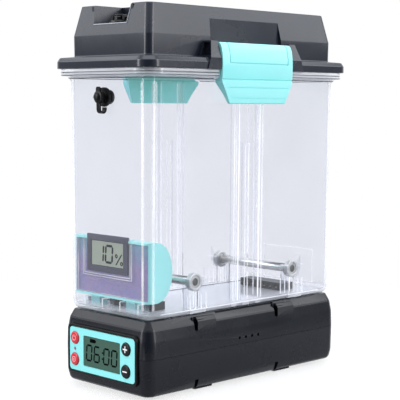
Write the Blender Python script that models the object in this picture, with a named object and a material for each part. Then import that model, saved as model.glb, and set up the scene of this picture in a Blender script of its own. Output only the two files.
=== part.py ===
"""Dry box for one filament spool, standing on its heated drying dock.

Front is -Y (the control panel), +Z is up, and the origin is on the surface that the rubber feet
stand on, under the middle of the dock. The dimensions below are in millimetres and are turned
into metres as each mesh is made.
"""
import math

import bmesh
import bpy
from mathutils import Matrix, Vector

MM = 0.001
GAP = 0.3                    # clearance left between pieces that touch

# ---- driving dimensions --------------------------------------------------------------------
LONGER = 68.8                # half length minus half width, the same for every outline
CORNER_STEPS = 4             # facets on each rounded corner of an outline
ROUND_STEPS = 20             # facets on a turned piece

DOCK_BASE_Z = 2.0            # underside of the dock; the feet reach down to 0
DOCK_SEAM_Z = 35.5           # parting line between the dock's lower and upper shell
DOCK_TOP_Z = 68.0
DOCK_HALF_W = 58.3           # at the parting line, the dock's widest
DOCK_WALL = 2.2
DECK_THICKNESS = 2.4

BOX_BASE_Z = DOCK_TOP_Z + GAP
BOX_FLOOR_Z = 71.3           # inside floor
BOX_FOOT_HALF_W = 54.5       # outer half width low down
BOX_TOP_HALF_W = 55.7        # outer half width at the top: the walls have a little draft
BOX_WALL = 2.6
BOX_CORNER = 10.0
BOX_RIM_HALF_W = 64.3
BOX_RIM_Z = (279.5, 285.8)
BOX_TOP_Z = 292.0

LID_BASE_Z = BOX_RIM_Z[1] + GAP
LID_FLANGE_HALF_W = 65.0
LID_EDGE_Z = 292.3           # where the flange's steep chamfer starts
LID_LEDGE = (63.0, 295.7)    # half width and height where the chamfer meets the flange's top
LID_FOOT_Z = 297.2           # where the upright wall starts
LID_FOOT_HALF_W = 51.7
LID_BREAK_Z = 315.4          # where the wall starts to lean in
LID_BREAK_HALF_W = 51.9
LID_TOP_Z = 342.0
LID_TOP_HALF_W = 46.8
LID_WALL = 2.3
LID_CORNER = 6.0
LID_POCKET_X = 48.8          # upright back of the pocket above each latch
LID_POCKET_HALF_L = 47.3
LID_POCKET_TOP = (45.0, 333.0)    # half length and height, just above the pocket's upper edge
GRIP_HALF_W = 24.0           # finger recess in the lid's front
GRIP_BACK_Y = -83.0
GRIP_FLOOR_Z = 325.0
LUG_TOP_Z = 311.0
LUG_FOOT_Z = 296.0
LUG_CORE = ((53.2, 298.1), (64.6, 298.1), (60.4, 309.5), (53.2, 309.5))    # hollow in each lug's end

LATCH_HALF_L = 46.4
LATCH_TIP_HALF_L = 36.4
LATCH_PIVOT = (58.5, 303.0)  # x and z of the hinge pin
LATCH_PIN_R = 1.5
PIN_HALF_L = 51.5

ROLLER_Z = 97.2
ROLLER_Y = {"front": -62.0, "rear": 69.0}
SHAFT_R = 3.5                # where it sits in its bearings
ROLLER_R = 4.2               # between the cradles
ROLLER_HALF_L = 43.2
BEARING_R = 8.0
BEARING_SPLIT_R = 5.4        # between the outer and the inner ring
BEARING_X = (45.5, 50.5)
CRADLE_X = (43.8, 53.7)
CRADLE_HALF_L = 10.0

VALVE_Y = {"front": -87.0, "rear": 87.0}
VALVE_HALF_W = 28.0
VALVE_TOP_Z = 79.0
DUCT_HALF_L = 96.0

PANEL_FRONT_Y = -129.2       # face of the coloured plate; its bezel stands proud of the case
PANEL_HALF_W = 44.5
PANEL_Z = (14.1, 53.4)
BUTTONS = {                  # x, z, radius
    "power_button": (-37.0, 43.6, 5.7),
    "mode_button": (-37.2, 24.0, 5.7),
    "plus_button": (33.3, 43.2, 5.9),
    "minus_button": (32.9, 23.5, 5.9),
}
LAMP_X, LAMP_Z = -37.1, 33.6
BUTTON_TRAVEL = 0.8
DISPLAY_HALF_W = 24.9
DISPLAY_Z = (19.8, 47.0)

CARTRIDGE_HALF_W = 51.0
CARTRIDGE_BACK_Y = -91.0
CARTRIDGE_CORNER = 6.0
CARTRIDGE_FRONT_Y = -119.6
CARTRIDGE_WALL = 2.0
GAUGE_X = (-30.8, 24.8)      # the hygrometer in the cartridge's front
GAUGE_Z = (105.5, 139.0)
GAUGE_Y = (-120.4, -107.0)
GAUGE_LIP_Y = -117.9         # back of the lip that frames its screen
GAUGE_BODY_Z = (107.5, 133.4)        # bottom and top of the body behind the lip

OUTLET_Z = 261.0             # filament outlet in the box's front wall
OUTLET_BORE_R = 2.3
TOP_OUTLET_Y = -108.0        # filament outlet in the lid's finger recess

SCREW_X = 38.0
SCREW_Y = 100.0
FOOT_X = 41.0
FOOT_Y = 108.0
CLIP_Y = (-55.5, 50.5)       # middle of each clip pocket in the dock's long sides
CLIP_HALF_L = 12.5
CLIP_PAD = ((50.8, 51.6), (57.5, 51.6), (57.4, 63.0), (54.6, 66.4), (50.8, 66.4))    # x and z of its section


# ---- making meshes -------------------------------------------------------------------------
def colour(red, green, blue):
    """A display colour, 0 to 255, as the linear values that a shader wants."""
    linear = []
    for channel in (red, green, blue):
        value = channel / 255
        linear.append(value / 12.92 if value <= 0.04045 else ((value + 0.055) / 1.055) ** 2.4)
    return linear


def material(name, rgb, roughness, metallic=0.0, clear=0.0):
    made = bpy.data.materials.new(name)
    made.use_nodes = True
    shader = made.node_tree.nodes["Principled BSDF"]
    shader.inputs["Base Color"].default_value = (*colour(*rgb), 1.0)
    shader.inputs["Roughness"].default_value = roughness
    shader.inputs["Metallic"].default_value = metallic
    shader.inputs["Transmission Weight"].default_value = clear
    return made


def place(name, mesh, finish):
    made = bpy.data.objects.new(name, mesh)
    bpy.context.scene.collection.objects.link(made)
    if finish:
        mesh.materials.append(finish)
    return made


def from_loops(name, loops, finish=None, ring=False, smooth=False):
    """A closed solid through a stack of loops, capped at both ends or joined into a ring."""
    work = bmesh.new()
    rows = [[work.verts.new(Vector(point) * MM) for point in loop] for loop in loops]
    pairs = list(zip(rows, rows[1:]))
    if ring:
        pairs.append((rows[-1], rows[0]))
    else:
        work.faces.new(rows[0])
        work.faces.new(rows[-1])
    for low, high in pairs:
        for index in range(len(low)):
            after = (index + 1) % len(low)
            work.faces.new((low[index], low[after], high[after], high[index]))
    bmesh.ops.recalc_face_normals(work, faces=work.faces)
    mesh = bpy.data.meshes.new(name)
    work.to_mesh(mesh)
    work.free()
    if smooth:
        mesh.shade_smooth()
        mesh.set_sharp_from_angle(angle=math.radians(35))
    return place(name, mesh, finish)


def blocks(name, boxes, finish=None):
    """One mesh of upright boxes, each given by two opposite corners."""
    work = bmesh.new()
    for low, high in boxes:
        size = Vector(high) - Vector(low)
        middle = (Vector(high) + Vector(low)) / 2
        spot = Matrix.Translation(middle * MM) @ Matrix.Diagonal((*(size * MM), 1.0))
        bmesh.ops.create_cube(work, size=1.0, matrix=spot)
    mesh = bpy.data.meshes.new(name)
    work.to_mesh(mesh)
    work.free()
    return place(name, mesh, finish)


def along(axis, run, across, up):
    """A point from its place along an axis and its two places across it."""
    return {"X": (run, across, up), "Y": (across, run, up), "Z": (across, up, run)}[axis]


def prism(name, points, axis, low, high, finish=None):
    """A polygon, given by its two places across the axis, extruded from low to high."""
    loops = [[along(axis, run, *point) for point in points] for run in (low, high)]
    return from_loops(name, loops, finish)


def circle(radius, axis, run, centre=(0.0, 0.0), steps=ROUND_STEPS):
    turns = [math.tau * (step + 0.5) / steps for step in range(steps)]
    return [along(axis, run, centre[0] + radius * math.cos(turn), centre[1] + radius * math.sin(turn))
            for turn in turns]


def turned(name, profile, axis, centre=(0.0, 0.0), finish=None, ring=False, steps=ROUND_STEPS):
    """A turned piece: profile is a list of (radius, place along the axis)."""
    loops = [circle(radius, axis, run, centre, steps) for radius, run in profile]
    return from_loops(name, loops, finish, ring, smooth=True)


def rounded(half_w, half_h, radius, centre=(0.0, 0.0), steps=4):
    """The points of a rounded rectangle in a plane."""
    points = []
    for side_x, side_y, start in ((1, 1, 0), (-1, 1, 90), (-1, -1, 180), (1, -1, 270)):
        for step in range(steps + 1):
            turn = math.radians(start + 90 * step / steps)
            points.append((centre[0] + side_x * (half_w - radius) + radius * math.cos(turn),
                           centre[1] + side_y * (half_h - radius) + radius * math.sin(turn)))
    return points


def outline(half_w, radius, z):
    """One level of the dock, box or lid: a rounded rectangle, longer along Y by LONGER."""
    points = rounded(half_w, half_w + LONGER, radius, steps=CORNER_STEPS)
    return [(x, y, z) for x, y in points]


def combine(target, other, operation):
    """Cut other out of target, or add it, with a Boolean; other is only a construction piece."""
    step = target.modifiers.new(operation.lower() + "_" + other.name, "BOOLEAN")
    step.operation = operation
    step.solver = "EXACT"
    step.use_self = True     # a cutter may be several boxes that cross each other
    step.object = other
    other.hide_render = True
    other.display_type = "WIRE"
    return target


def cut(target, *others):
    for other in others:
        combine(target, other, "DIFFERENCE")


def add(target, *others):
    for other in others:
        combine(target, other, "UNION")


def both_sides(boxes):
    """The boxes and their mirror images across the YZ plane."""
    mirrored = [((-high[0], low[1], low[2]), (-low[0], high[1], high[2])) for low, high in boxes]
    return list(boxes) + mirrored


def on_axis(name, point, *pieces):
    """Parents moving pieces to an empty that stands on their joint's axis."""
    hub = bpy.data.objects.new(name, None)
    hub.location = Vector(point) * MM
    bpy.context.scene.collection.objects.link(hub)
    for piece in pieces:
        piece.parent = hub
        piece.matrix_parent_inverse = Matrix.Translation(hub.location).inverted()


# ---- the dock's case -----------------------------------------------------------------------
def make_lower_shell(finish):
    base = DOCK_BASE_Z
    outer = [(50.7, base), (53.8, base + 1.0), (56.4, base + 4.3), (57.7, base + 10.0),
             (DOCK_HALF_W, DOCK_SEAM_Z)]
    inner = [(DOCK_HALF_W - DOCK_WALL, DOCK_SEAM_Z), (55.4, base + 10.4), (54.0, base + 5.6),
             (51.0, base + DECK_THICKNESS)]
    loops = [outline(half_w, half_w - 46.8, z) for half_w, z in outer + inner]
    shell = from_loops("dock_lower_shell", loops, finish)
    tabs = []
    slots = []
    for middle_y in CLIP_Y:
        first = middle_y - CLIP_HALF_L
        tabs.append(((44.0, first + 3.6, 0.8), (52.6, first + 2 * CLIP_HALF_L, base + 1.5)))
        tabs.append(((51.0, first - 1.5, base + 1.2), (54.5, first + 5.0, 14.0)))
        slots.append(((53.2, first - 0.8, 0.0), (60.0, first + 3.4, 11.0)))
    add(shell, blocks("lower_tabs", both_sides(tabs)))
    cut(shell, blocks("lower_slots", both_sides(slots)), panel_cutter("lower_panel_opening"))
    cut(shell, blocks("inlet_opening", [((13.6, 110.0, 15.6), (38.4, 130.0, 32.4))]))
    intake = [((-20.0, 6.0 * row - 1.5, 0.0), (20.0, 6.0 * row + 1.5, 8.0)) for row in range(-3, 4)]
    cut(shell, blocks("air_intake_slots", intake))
    for side_x in (-1, 1):
        for side_y in (-1, 1):
            middle = (side_x * FOOT_X, side_y * FOOT_Y)
            cut(shell, turned("foot_recess", [(6.3, 0.0), (6.3, base + 1.2)], "Z", middle))
            middle = (side_x * SCREW_X, side_y * SCREW_Y - side_y * 12.0)
            hole = [(3.6, 0.0), (3.6, base + 1.0), (1.9, base + 1.0), (1.9, 8.0)]
            cut(shell, turned("screw_clearance", hole, "Z", middle))
    return shell


def panel_cutter(name):
    """The opening for the control panel, through the front walls of both dock shells."""
    return prism(name, rounded(47.2, 22.4, 4.9, centre=(0.0, 33.8)), "Y", -135.0, -118.0)


def make_upper_shell(finish):
    top = DOCK_TOP_Z
    outer = [(51.7, top), (55.7, 61.0), (57.7, 51.2), (DOCK_HALF_W, DOCK_SEAM_Z + GAP)]
    inner = [(DOCK_HALF_W - DOCK_WALL, DOCK_SEAM_Z + GAP), (55.5, 50.8), (53.2, 60.6),
             (50.6, top - DECK_THICKNESS)]
    loops = [outline(half_w, half_w - 46.8, z) for half_w, z in outer + inner]
    shell = from_loops("dock_upper_shell", loops, finish)
    backing = []
    pockets = []
    pads = []
    for middle_y in CLIP_Y:
        first, last = middle_y - CLIP_HALF_L, middle_y + CLIP_HALF_L
        backing.append(((50.4, first - 2.0, 51.5), (54.5, last, 66.6)))
        pockets.append(((52.4, first - 1.0, 55.0), (56.4, first + 10.0, 64.6)))
        pockets.append(((52.4, first - 1.0, 55.0), (60.0, first + 2.4, 70.0)))
        for side in (-1, 1):
            section = [(side * x, z) for x, z in CLIP_PAD]
            pads.append(prism("clip_pad", section, "Y", first + 1.0, last))
    notch = [((50.4, -39.0, 66.6), (53.0, 39.0, 70.0))]
    lips = []
    slots = []
    for y in VALVE_Y.values():
        lips.append(((-25.5, y - 6.5, top - 1.0), (25.5, y + 6.5, top + 3.0)))
        slots.append(((-24.0, y - 5.0, 60.0), (24.0, y + 5.0, 80.0)))
    add(shell, blocks("clip_backing", both_sides(backing)), *pads, blocks("nozzle_lips", lips))
    for side_x in (-1, 1):
        for side_y in (-1, 1):
            middle = (side_x * SCREW_X, side_y * SCREW_Y - side_y * 12.0)
            add(shell, turned("screw_post", [(4.0, 5.6), (4.0, 66.4)], "Z", middle, steps=16))
            cut(shell, turned("screw_pilot", [(1.8, 4.0), (1.8, 24.0)], "Z", middle, steps=12))
    cut(shell, blocks("clip_pockets", both_sides(pockets)), blocks("nozzle_slots", slots))
    cut(shell, blocks("edge_notch", both_sides(notch)), panel_cutter("upper_panel_opening"))
    for row in (-1.5, -0.5, 0.5, 1.5):
        vent = turned("side_vent", [(1.4, -62.0), (1.4, 62.0)], "X", (row * 8.3, 41.2), steps=12)
        cut(shell, vent)
    return shell


def make_dock_case():
    charcoal = material("dock_plastic", (47, 49, 56), 0.45)
    rubber = material("rubber", (24, 24, 26), 0.85)
    steel = material("steel", (170, 172, 176), 0.3, metallic=1.0)
    make_lower_shell(charcoal)
    make_upper_shell(charcoal)
    number = 0
    for side_x in (-1, 1):
        for side_y in (-1, 1):
            number += 1
            middle = (side_x * FOOT_X, side_y * FOOT_Y)
            sole = [(5.2, 0.0), (6.0, 0.8), (6.0, DOCK_BASE_Z + 1.2 - GAP)]
            turned(f"foot_{number}", sole, "Z", middle, rubber, steps=20)
            middle = (side_x * SCREW_X, side_y * SCREW_Y - side_y * 12.0)
            screw = [(2.4, 1.6), (2.9, 2.0), (2.9, 2.7), (1.5, 2.7), (1.5, 20.0), (0.6, 21.5)]
            turned(f"case_screw_{number}", screw, "Z", middle, steel, steps=12)


# ---- the control panel ---------------------------------------------------------------------
def make_control_panel():
    black = material("panel_black", (18, 18, 20), 0.5)
    teal = material("teal_plastic", (150, 240, 238), 0.35)
    red = material("red_plastic", (225, 60, 75), 0.3)
    screen = material("display_glass", (110, 135, 120), 0.15)
    lamp = material("status_lamp", (200, 60, 110), 0.2)
    board_green = material("circuit_board", (20, 70, 45), 0.6)
    middle_z = sum(PANEL_Z) / 2
    half_h = (PANEL_Z[1] - PANEL_Z[0]) / 2
    floor_y = PANEL_FRONT_Y + 2.0 + GAP

    bezel = prism("panel_bezel", rounded(46.9, 22.1, 4.6, centre=(0.0, 33.8)), "Y",
                  PANEL_FRONT_Y - 0.5, floor_y + 2.4, black)
    well = prism("bezel_well", rounded(45.1, 20.3, 3.8, centre=(0.0, 33.8)), "Y", -135.0, floor_y)
    cut(bezel, well, blocks("display_lead_slot", [((-12.0, -128.0, 27.0), (12.0, -118.0, 40.0))]))

    plate = prism("control_panel", rounded(PANEL_HALF_W, half_h, 3.2, centre=(0.0, middle_z)), "Y",
                  PANEL_FRONT_Y, floor_y - GAP, teal)
    window = [((-DISPLAY_HALF_W - GAP, -135.0, DISPLAY_Z[0] - GAP),
               (DISPLAY_HALF_W + GAP, -118.0, DISPLAY_Z[1] + GAP))]
    cut(plate, blocks("display_window", window))
    blocks("dock_display", [((-DISPLAY_HALF_W, PANEL_FRONT_Y + 0.5, DISPLAY_Z[0]),
                             (DISPLAY_HALF_W, floor_y - GAP, DISPLAY_Z[1]))], screen)
    cut(plate, turned("lamp_hole", [(1.5, -135.0), (1.5, -118.0)], "Y", (LAMP_X, LAMP_Z), steps=12))
    dome = [(0.5, PANEL_FRONT_Y - 0.2), (1.1, PANEL_FRONT_Y), (1.2, floor_y - GAP)]
    turned("status_lamp", dome, "Y", (LAMP_X, LAMP_Z), lamp, steps=12)

    for name, (x, z, radius) in BUTTONS.items():
        cut(plate, turned(name + "_hole", [(radius + GAP, -135.0), (radius + GAP, -118.0)], "Y", (x, z)))
        cut(bezel, turned(name + "_stem_hole", [(2.3, -128.0), (2.3, -118.0)], "Y", (x, z), steps=12))
        front = PANEL_FRONT_Y - 1.3
        profile = [(radius - 1.1, front), (radius - 0.3, front + 0.4), (radius, front + 1.1),
                   (radius, floor_y - BUTTON_TRAVEL - 0.2), (1.9, floor_y - BUTTON_TRAVEL - 0.2),
                   (1.9, -119.2)]
        cap = turned(name, profile, "Y", (x, z), red if x < 0 else black)
        on_axis(name + "_axis", (x, front, z), cap)

    board = blocks("control_board", [((-43.0, -117.6, 16.0), (43.0, -116.0, 52.0))], board_green)
    chips = [((-10.0, -116.2, 22.0), (8.0, -113.0, 36.0)), ((20.0, -116.2, 30.0), (36.0, -110.0, 42.0))]
    for x, z, _ in BUTTONS.values():
        chips.append(((x - 3.0, -118.2, z - 3.0), (x + 3.0, -117.0, z + 3.0)))
    add(board, blocks("board_parts", chips))


# ---- what the dock holds inside ------------------------------------------------------------
def make_dock_inside():
    black = material("black_plastic", (22, 22, 24), 0.5)
    board_green = material("supply_board", (24, 78, 50), 0.6)
    metal = material("heater_aluminium", (190, 192, 196), 0.35, metallic=1.0)
    duct_grey = material("duct_plastic", (70, 72, 78), 0.6)

    half_l = DUCT_HALF_L
    duct = blocks("air_duct", [((-30.0, -half_l, 50.0), (30.0, half_l, 65.3))], duct_grey)
    hollow_l = half_l - 1.6
    cut(duct, blocks("duct_hollow", [((-28.4, -hollow_l, 51.6), (28.4, hollow_l, 70.0))]))
    cut(duct, blocks("duct_mouth", [((-25.0, -13.0, 45.0), (25.0, 13.0, 55.0))]))

    teeth = [(-26.0, 26.0)]
    fins = 9
    pitch = 52.0 / (2 * fins - 1)
    for fin in range(fins):
        left = -26.0 + 2 * fin * pitch
        teeth += [(left, 49.7), (left + pitch, 49.7)]
        if fin < fins - 1:
            teeth += [(left + pitch, 30.0), (left + 2 * pitch, 30.0)]
    teeth.append((26.0, 26.0))
    prism("heater_block", teeth, "Y", -14.0, 14.0, metal)

    frame = prism("fan_frame", rounded(25.0, 25.0, 3.0), "Z", 9.0, 23.0, black)
    cut(frame, turned("fan_bore", [(23.4, 5.0), (23.4, 30.0)], "Z"))
    spokes = [((-24.5, -1.5, 9.0), (24.5, 1.5, 10.8)), ((-1.5, -24.5, 9.0), (1.5, 24.5, 10.8))]
    add(frame, blocks("fan_spokes", spokes))
    add(frame, turned("fan_motor_seat", [(8.0, 9.0), (8.0, 11.0)], "Z"))

    rotor = turned("fan_rotor", [(8.5, 11.4), (9.0, 12.0), (9.0, 20.6), (8.0, 21.4)], "Z", finish=black)
    blade_points = [(7.5, 13.0), (22.6, 13.0), (22.6, 19.6), (7.5, 19.6)]
    for blade in range(7):
        vane = prism("fan_blade", blade_points, "Y", -0.7, 0.7)
        turn = Matrix.Rotation(math.tau * blade / 7, 4, "Z")
        pitch_turn = Matrix.Rotation(math.radians(35), 4, "X")
        lift = Matrix.Translation((0.0, 0.0, 16.3 * MM))
        vane.data.transform(turn @ lift @ pitch_turn @ lift.inverted())
        add(rotor, vane)
    on_axis("fan_axis", (0.0, 0.0, 16.0), rotor)

    supply = blocks("power_board", [((-33.0, 42.0, 9.0), (11.0, 112.0, 10.6))], board_green)
    parts = [((-30.0, 70.0, 10.0), (-6.0, 92.0, 28.0)), ((-28.0, 48.0, 10.0), (-18.0, 60.0, 24.0)),
             ((-12.0, 48.0, 10.0), (4.0, 58.0, 18.0))]
    add(supply, blocks("supply_parts", parts))

    inlet = blocks("power_inlet", [((14.0, 108.0, 16.0), (38.0, 127.8, 32.0))], black)
    add(inlet, prism("inlet_flange", rounded(14.0, 10.0, 2.0, centre=(26.0, 24.0)), "Y", 127.7, 129.3))
    cut(inlet, prism("inlet_socket", rounded(9.0, 5.5, 5.0, centre=(26.0, 24.0)), "Y", 111.0, 132.0))
    for x in (21.5, 30.5):
        add(inlet, turned("inlet_contact", [(1.2, 110.0), (1.2, 124.0)], "Y", (x, 24.0), steps=10))


# ---- the box -------------------------------------------------------------------------------
def box_half_width(z):
    """Outer half width of the box's wall at a height: it leans out a little towards the top."""
    share = (z - BOX_BASE_Z) / (BOX_TOP_Z - BOX_BASE_Z)
    return BOX_FOOT_HALF_W + share * (BOX_TOP_HALF_W - BOX_FOOT_HALF_W)


def box_levels():
    """Half width and height of each level, up the outside and down the inside."""
    fillet = 8.5
    levels = []
    for step in range(5):
        turn = math.radians(22.5 * step)
        levels.append((BOX_FOOT_HALF_W - fillet + fillet * math.sin(turn),
                       BOX_BASE_Z + fillet - fillet * math.cos(turn)))
    rim_low, rim_high = BOX_RIM_Z
    rim = BOX_RIM_HALF_W
    levels += [(box_half_width(rim_low) - 0.05, rim_low - 6.0), (57.2, rim_low - 2.0),
               (60.0, rim_low), (rim - 0.6, rim_low), (rim, rim_low + 0.6),
               (rim, rim_low + 2.6), (rim - 0.6, rim_low + 3.0), (rim, rim_low + 3.4),
               (rim, rim_high - 0.5), (rim - 0.5, rim_high), (BOX_TOP_HALF_W, rim_high),
               (BOX_TOP_HALF_W, BOX_TOP_Z), (BOX_TOP_HALF_W - BOX_WALL, BOX_TOP_Z)]
    inner_fillet = 6.0
    inner = BOX_FOOT_HALF_W - BOX_WALL + 0.1
    for step in range(4):
        turn = math.radians(30 * step)
        levels.append((inner - inner_fillet + inner_fillet * math.cos(turn),
                       BOX_FLOOR_Z + inner_fillet - inner_fillet * math.sin(turn)))
    return levels


def make_box_shell(finish):
    loops = []
    for half_w, z in box_levels():
        radius = BOX_CORNER + half_w - BOX_FOOT_HALF_W
        loops.append(outline(half_w, max(radius, 1.6), z))
    shell = from_loops("box_shell", loops, finish)

    extra = []
    hollows = []
    for y in ROLLER_Y.values():
        extra.append(((CRADLE_X[0], y - CRADLE_HALF_L, 70.0), (CRADLE_X[1], y + CRADLE_HALF_L, 101.0)))
        hollows.append(((BEARING_X[0] - GAP, y - BEARING_R - GAP, ROLLER_Z),
                        (53.0, y + BEARING_R + GAP, 110.0)))
        hollows.append(((40.0, y - SHAFT_R - 0.8, ROLLER_Z), (46.0, y + SHAFT_R + 0.8, 110.0)))
    for side in (-1, 1):
        low, high = sorted((side * 13.0, side * 19.5))
        extra.append(((50.9, low, 70.5), (53.6, high, 278.0)))
    extra.append(((50.5, -4.5, 70.5), (53.6, 4.5, 220.0)))
    add(shell, blocks("box_inner_ribs", both_sides(extra)))
    plate = rounded(33.0, 16.5, 4.0, centre=(0.0, 93.5))
    add(shell, prism("rear_wall_pad", plate, "Y", 119.3, 122.2))
    sockets = []
    pockets = []
    for x in (-24.0, 24.0):
        sockets.append(((x - 12.0, -118.0, 70.0), (x + 12.0, -104.8, 81.0)))
        pockets.append(((x - 9.8, -116.3, 72.0), (x + 9.8, -106.7, 90.0)))
    add(shell, blocks("cartridge_sockets", sockets))

    cut(shell, blocks("bearing_slots", both_sides(hollows)), blocks("socket_pockets", pockets))
    for y in ROLLER_Y.values():
        for side in (-1, 1):
            near, far = sorted((side * (BEARING_X[0] - GAP), side * 53.0))
            seat = [(BEARING_R + GAP, near), (BEARING_R + GAP, far)]
            cut(shell, turned("bearing_seat", seat, "X", (y, ROLLER_Z)))
        bore = [(SHAFT_R + 0.8, -46.0), (SHAFT_R + 0.8, 46.0)]
        cut(shell, turned("shaft_clearance", bore, "X", (y, ROLLER_Z), steps=16))
    air = [((-26.5, y - 7.5, 60.0), (26.5, y + 7.5, 76.0)) for y in VALVE_Y.values()]
    cut(shell, blocks("air_slots", air))
    cut(shell, turned("outlet_hole", [(4.6, -130.0), (4.6, -118.0)], "Y", (0.0, OUTLET_Z)))
    notch = both_sides([((57.4, -47.6, 273.0), (70.0, 47.6, 287.0))])
    cut(shell, blocks("rim_notches", notch))
    return shell


def make_outlet(prefix, axis, run, centre, direction, thread, finish):
    """A filament outlet: flange, boss and neck round one bore. run is the wall's outer face."""
    profile = [(OUTLET_BORE_R, run + direction * 6.8), (4.4, run + direction * 6.8),
               (5.0, run + direction * 6.2), (5.0, run + direction * 3.0),
               (8.0, run + direction * 3.0), (8.5, run + direction * 2.4), (8.5, run + direction * GAP),
               (4.2, run + direction * GAP), (4.2, run - direction * thread),
               (OUTLET_BORE_R, run - direction * thread)]
    turned(prefix + "_outlet", profile, axis, centre, finish, ring=True)


def make_rollers(steel, seal):
    for place_name, y in ROLLER_Y.items():
        spot = (y, ROLLER_Z)
        end = BEARING_X[1] - 0.8
        half = [(SHAFT_R - 0.5, end), (SHAFT_R, end - 0.5), (SHAFT_R, ROLLER_HALF_L),
                (ROLLER_R, ROLLER_HALF_L)]
        profile = [(radius, -run) for radius, run in half] + half[::-1]
        shaft = turned(place_name + "_shaft", profile, "X", spot, steel)
        spinning = [shaft]
        for side_name, side in (("left", -1), ("right", 1)):
            near, far = side * BEARING_X[0], side * BEARING_X[1]
            split, chamfer = BEARING_SPLIT_R, side * 0.5
            outer = [(split + 0.2, near), (BEARING_R - 0.4, near), (BEARING_R, near + chamfer),
                     (BEARING_R, far - chamfer), (BEARING_R - 0.4, far), (split + 0.2, far)]
            turned(f"{place_name}_{side_name}_bearing_outer", outer, "X", spot, steel, ring=True)
            inner = [(SHAFT_R + 0.2, near + chamfer), (split - 0.15, near + chamfer),
                     (split - 0.15, far - chamfer), (SHAFT_R + 0.2, far - chamfer)]
            inner_name = f"{place_name}_{side_name}_bearing_inner"
            spinning.append(turned(inner_name, inner, "X", spot, seal, ring=True))
        on_axis(place_name + "_roller_axis", (0.0, y, ROLLER_Z), *spinning)


def make_box():
    clear = material("clear_plastic", (226, 226, 238), 0.08, clear=0.9)
    black = material("outlet_plastic", (20, 20, 22), 0.45)
    rubber = material("soft_rubber", (26, 26, 28), 0.8)
    steel = material("bearing_steel", (190, 192, 196), 0.25, metallic=1.0)
    seal = material("bearing_seal", (60, 62, 66), 0.5)
    make_box_shell(clear)
    make_rollers(steel, seal)

    for name, y in VALVE_Y.items():
        cap = blocks(name + "_valve_cap", [((-VALVE_HALF_W, y - 8.5, BOX_FLOOR_Z + GAP),
                                            (VALVE_HALF_W, y + 8.5, VALVE_TOP_Z))], black)
        cut(cap, blocks("valve_hollow", [((-26.0, y - 6.9, 70.0), (26.0, y + 6.9, VALVE_TOP_Z - 1.6))]))
        louvres = [((x - 1.5, y - 12.0, 74.0), (x + 1.5, y + 12.0, 76.5)) for x in range(-20, 21, 8)]
        cut(cap, blocks("valve_louvres", louvres))

    wall = box_half_width(OUTLET_Z) + LONGER
    make_outlet("front", "Y", -wall, (0.0, OUTLET_Z), -1, 6.2, black)
    nut = [(4.5, -wall + 3.2), (6.4, -wall + 3.2), (6.4, -wall + 5.2), (5.9, -wall + 5.8), (4.5, -wall + 5.8)]
    turned("front_outlet_nut", nut, "Y", (0.0, OUTLET_Z), black, ring=True, steps=12)

    head = -wall - 7.1
    profile = [(1.6, head + 9.0), (2.0, head + 8.0), (2.0, head), (5.4, head), (5.6, head - 0.6),
               (5.6, head - 1.6), (3.5, head - 2.2), (3.2, head - 3.9), (2.2, head - 4.4)]
    plug = turned("front_plug", profile, "Y", (0.0, OUTLET_Z), rubber)
    ear = rounded(2.7, 6.0, 2.0, centre=(0.0, OUTLET_Z + 3.0))
    add(plug, prism("plug_ear", ear, "Y", head - 1.5, head - 0.1))
    hang = OUTLET_Z - 10.6
    loop_points = []
    for radius, start, stop in ((3.9, 180, 360), (2.5, 360, 180)):
        for step in range(7):
            turn = math.radians(start + (stop - start) * step / 6)
            loop_points.append((head + 2.9 + radius * math.cos(turn), hang + radius * math.sin(turn)))
    down, up = loop_points[:7], loop_points[7:]
    strap = [(head - 1.2, OUTLET_Z - 4.5), *down, (head + 6.8, hang + 1.7), (head + 5.4, hang + 1.7), *up,
             (head - 0.2, OUTLET_Z - 4.5)]
    add(plug, prism("plug_tether", strap, "X", -2.4, 2.4))
    on_axis("front_plug_axis", (0.0, head, OUTLET_Z), plug)


# ---- the desiccant cartridge ---------------------------------------------------------------
def cartridge_side(inset):
    """The cartridge's side outline in Y and Z: upright in front, a round back."""
    front, back, low, high = CARTRIDGE_FRONT_Y, CARTRIDGE_BACK_Y - inset, 83.0 + inset, 136.0 - inset
    middle_z = (low + high) / 2
    half_h = (high - low) / 2
    start = -110.0
    points = [(front, low), (start, low)]
    for step in range(1, 12):
        turn = math.radians(-90 + 180 * step / 12)
        points.append((start + (back - start) * math.cos(turn), middle_z + half_h * math.sin(turn)))
    points += [(start, high), (front, high)]
    return points


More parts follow.
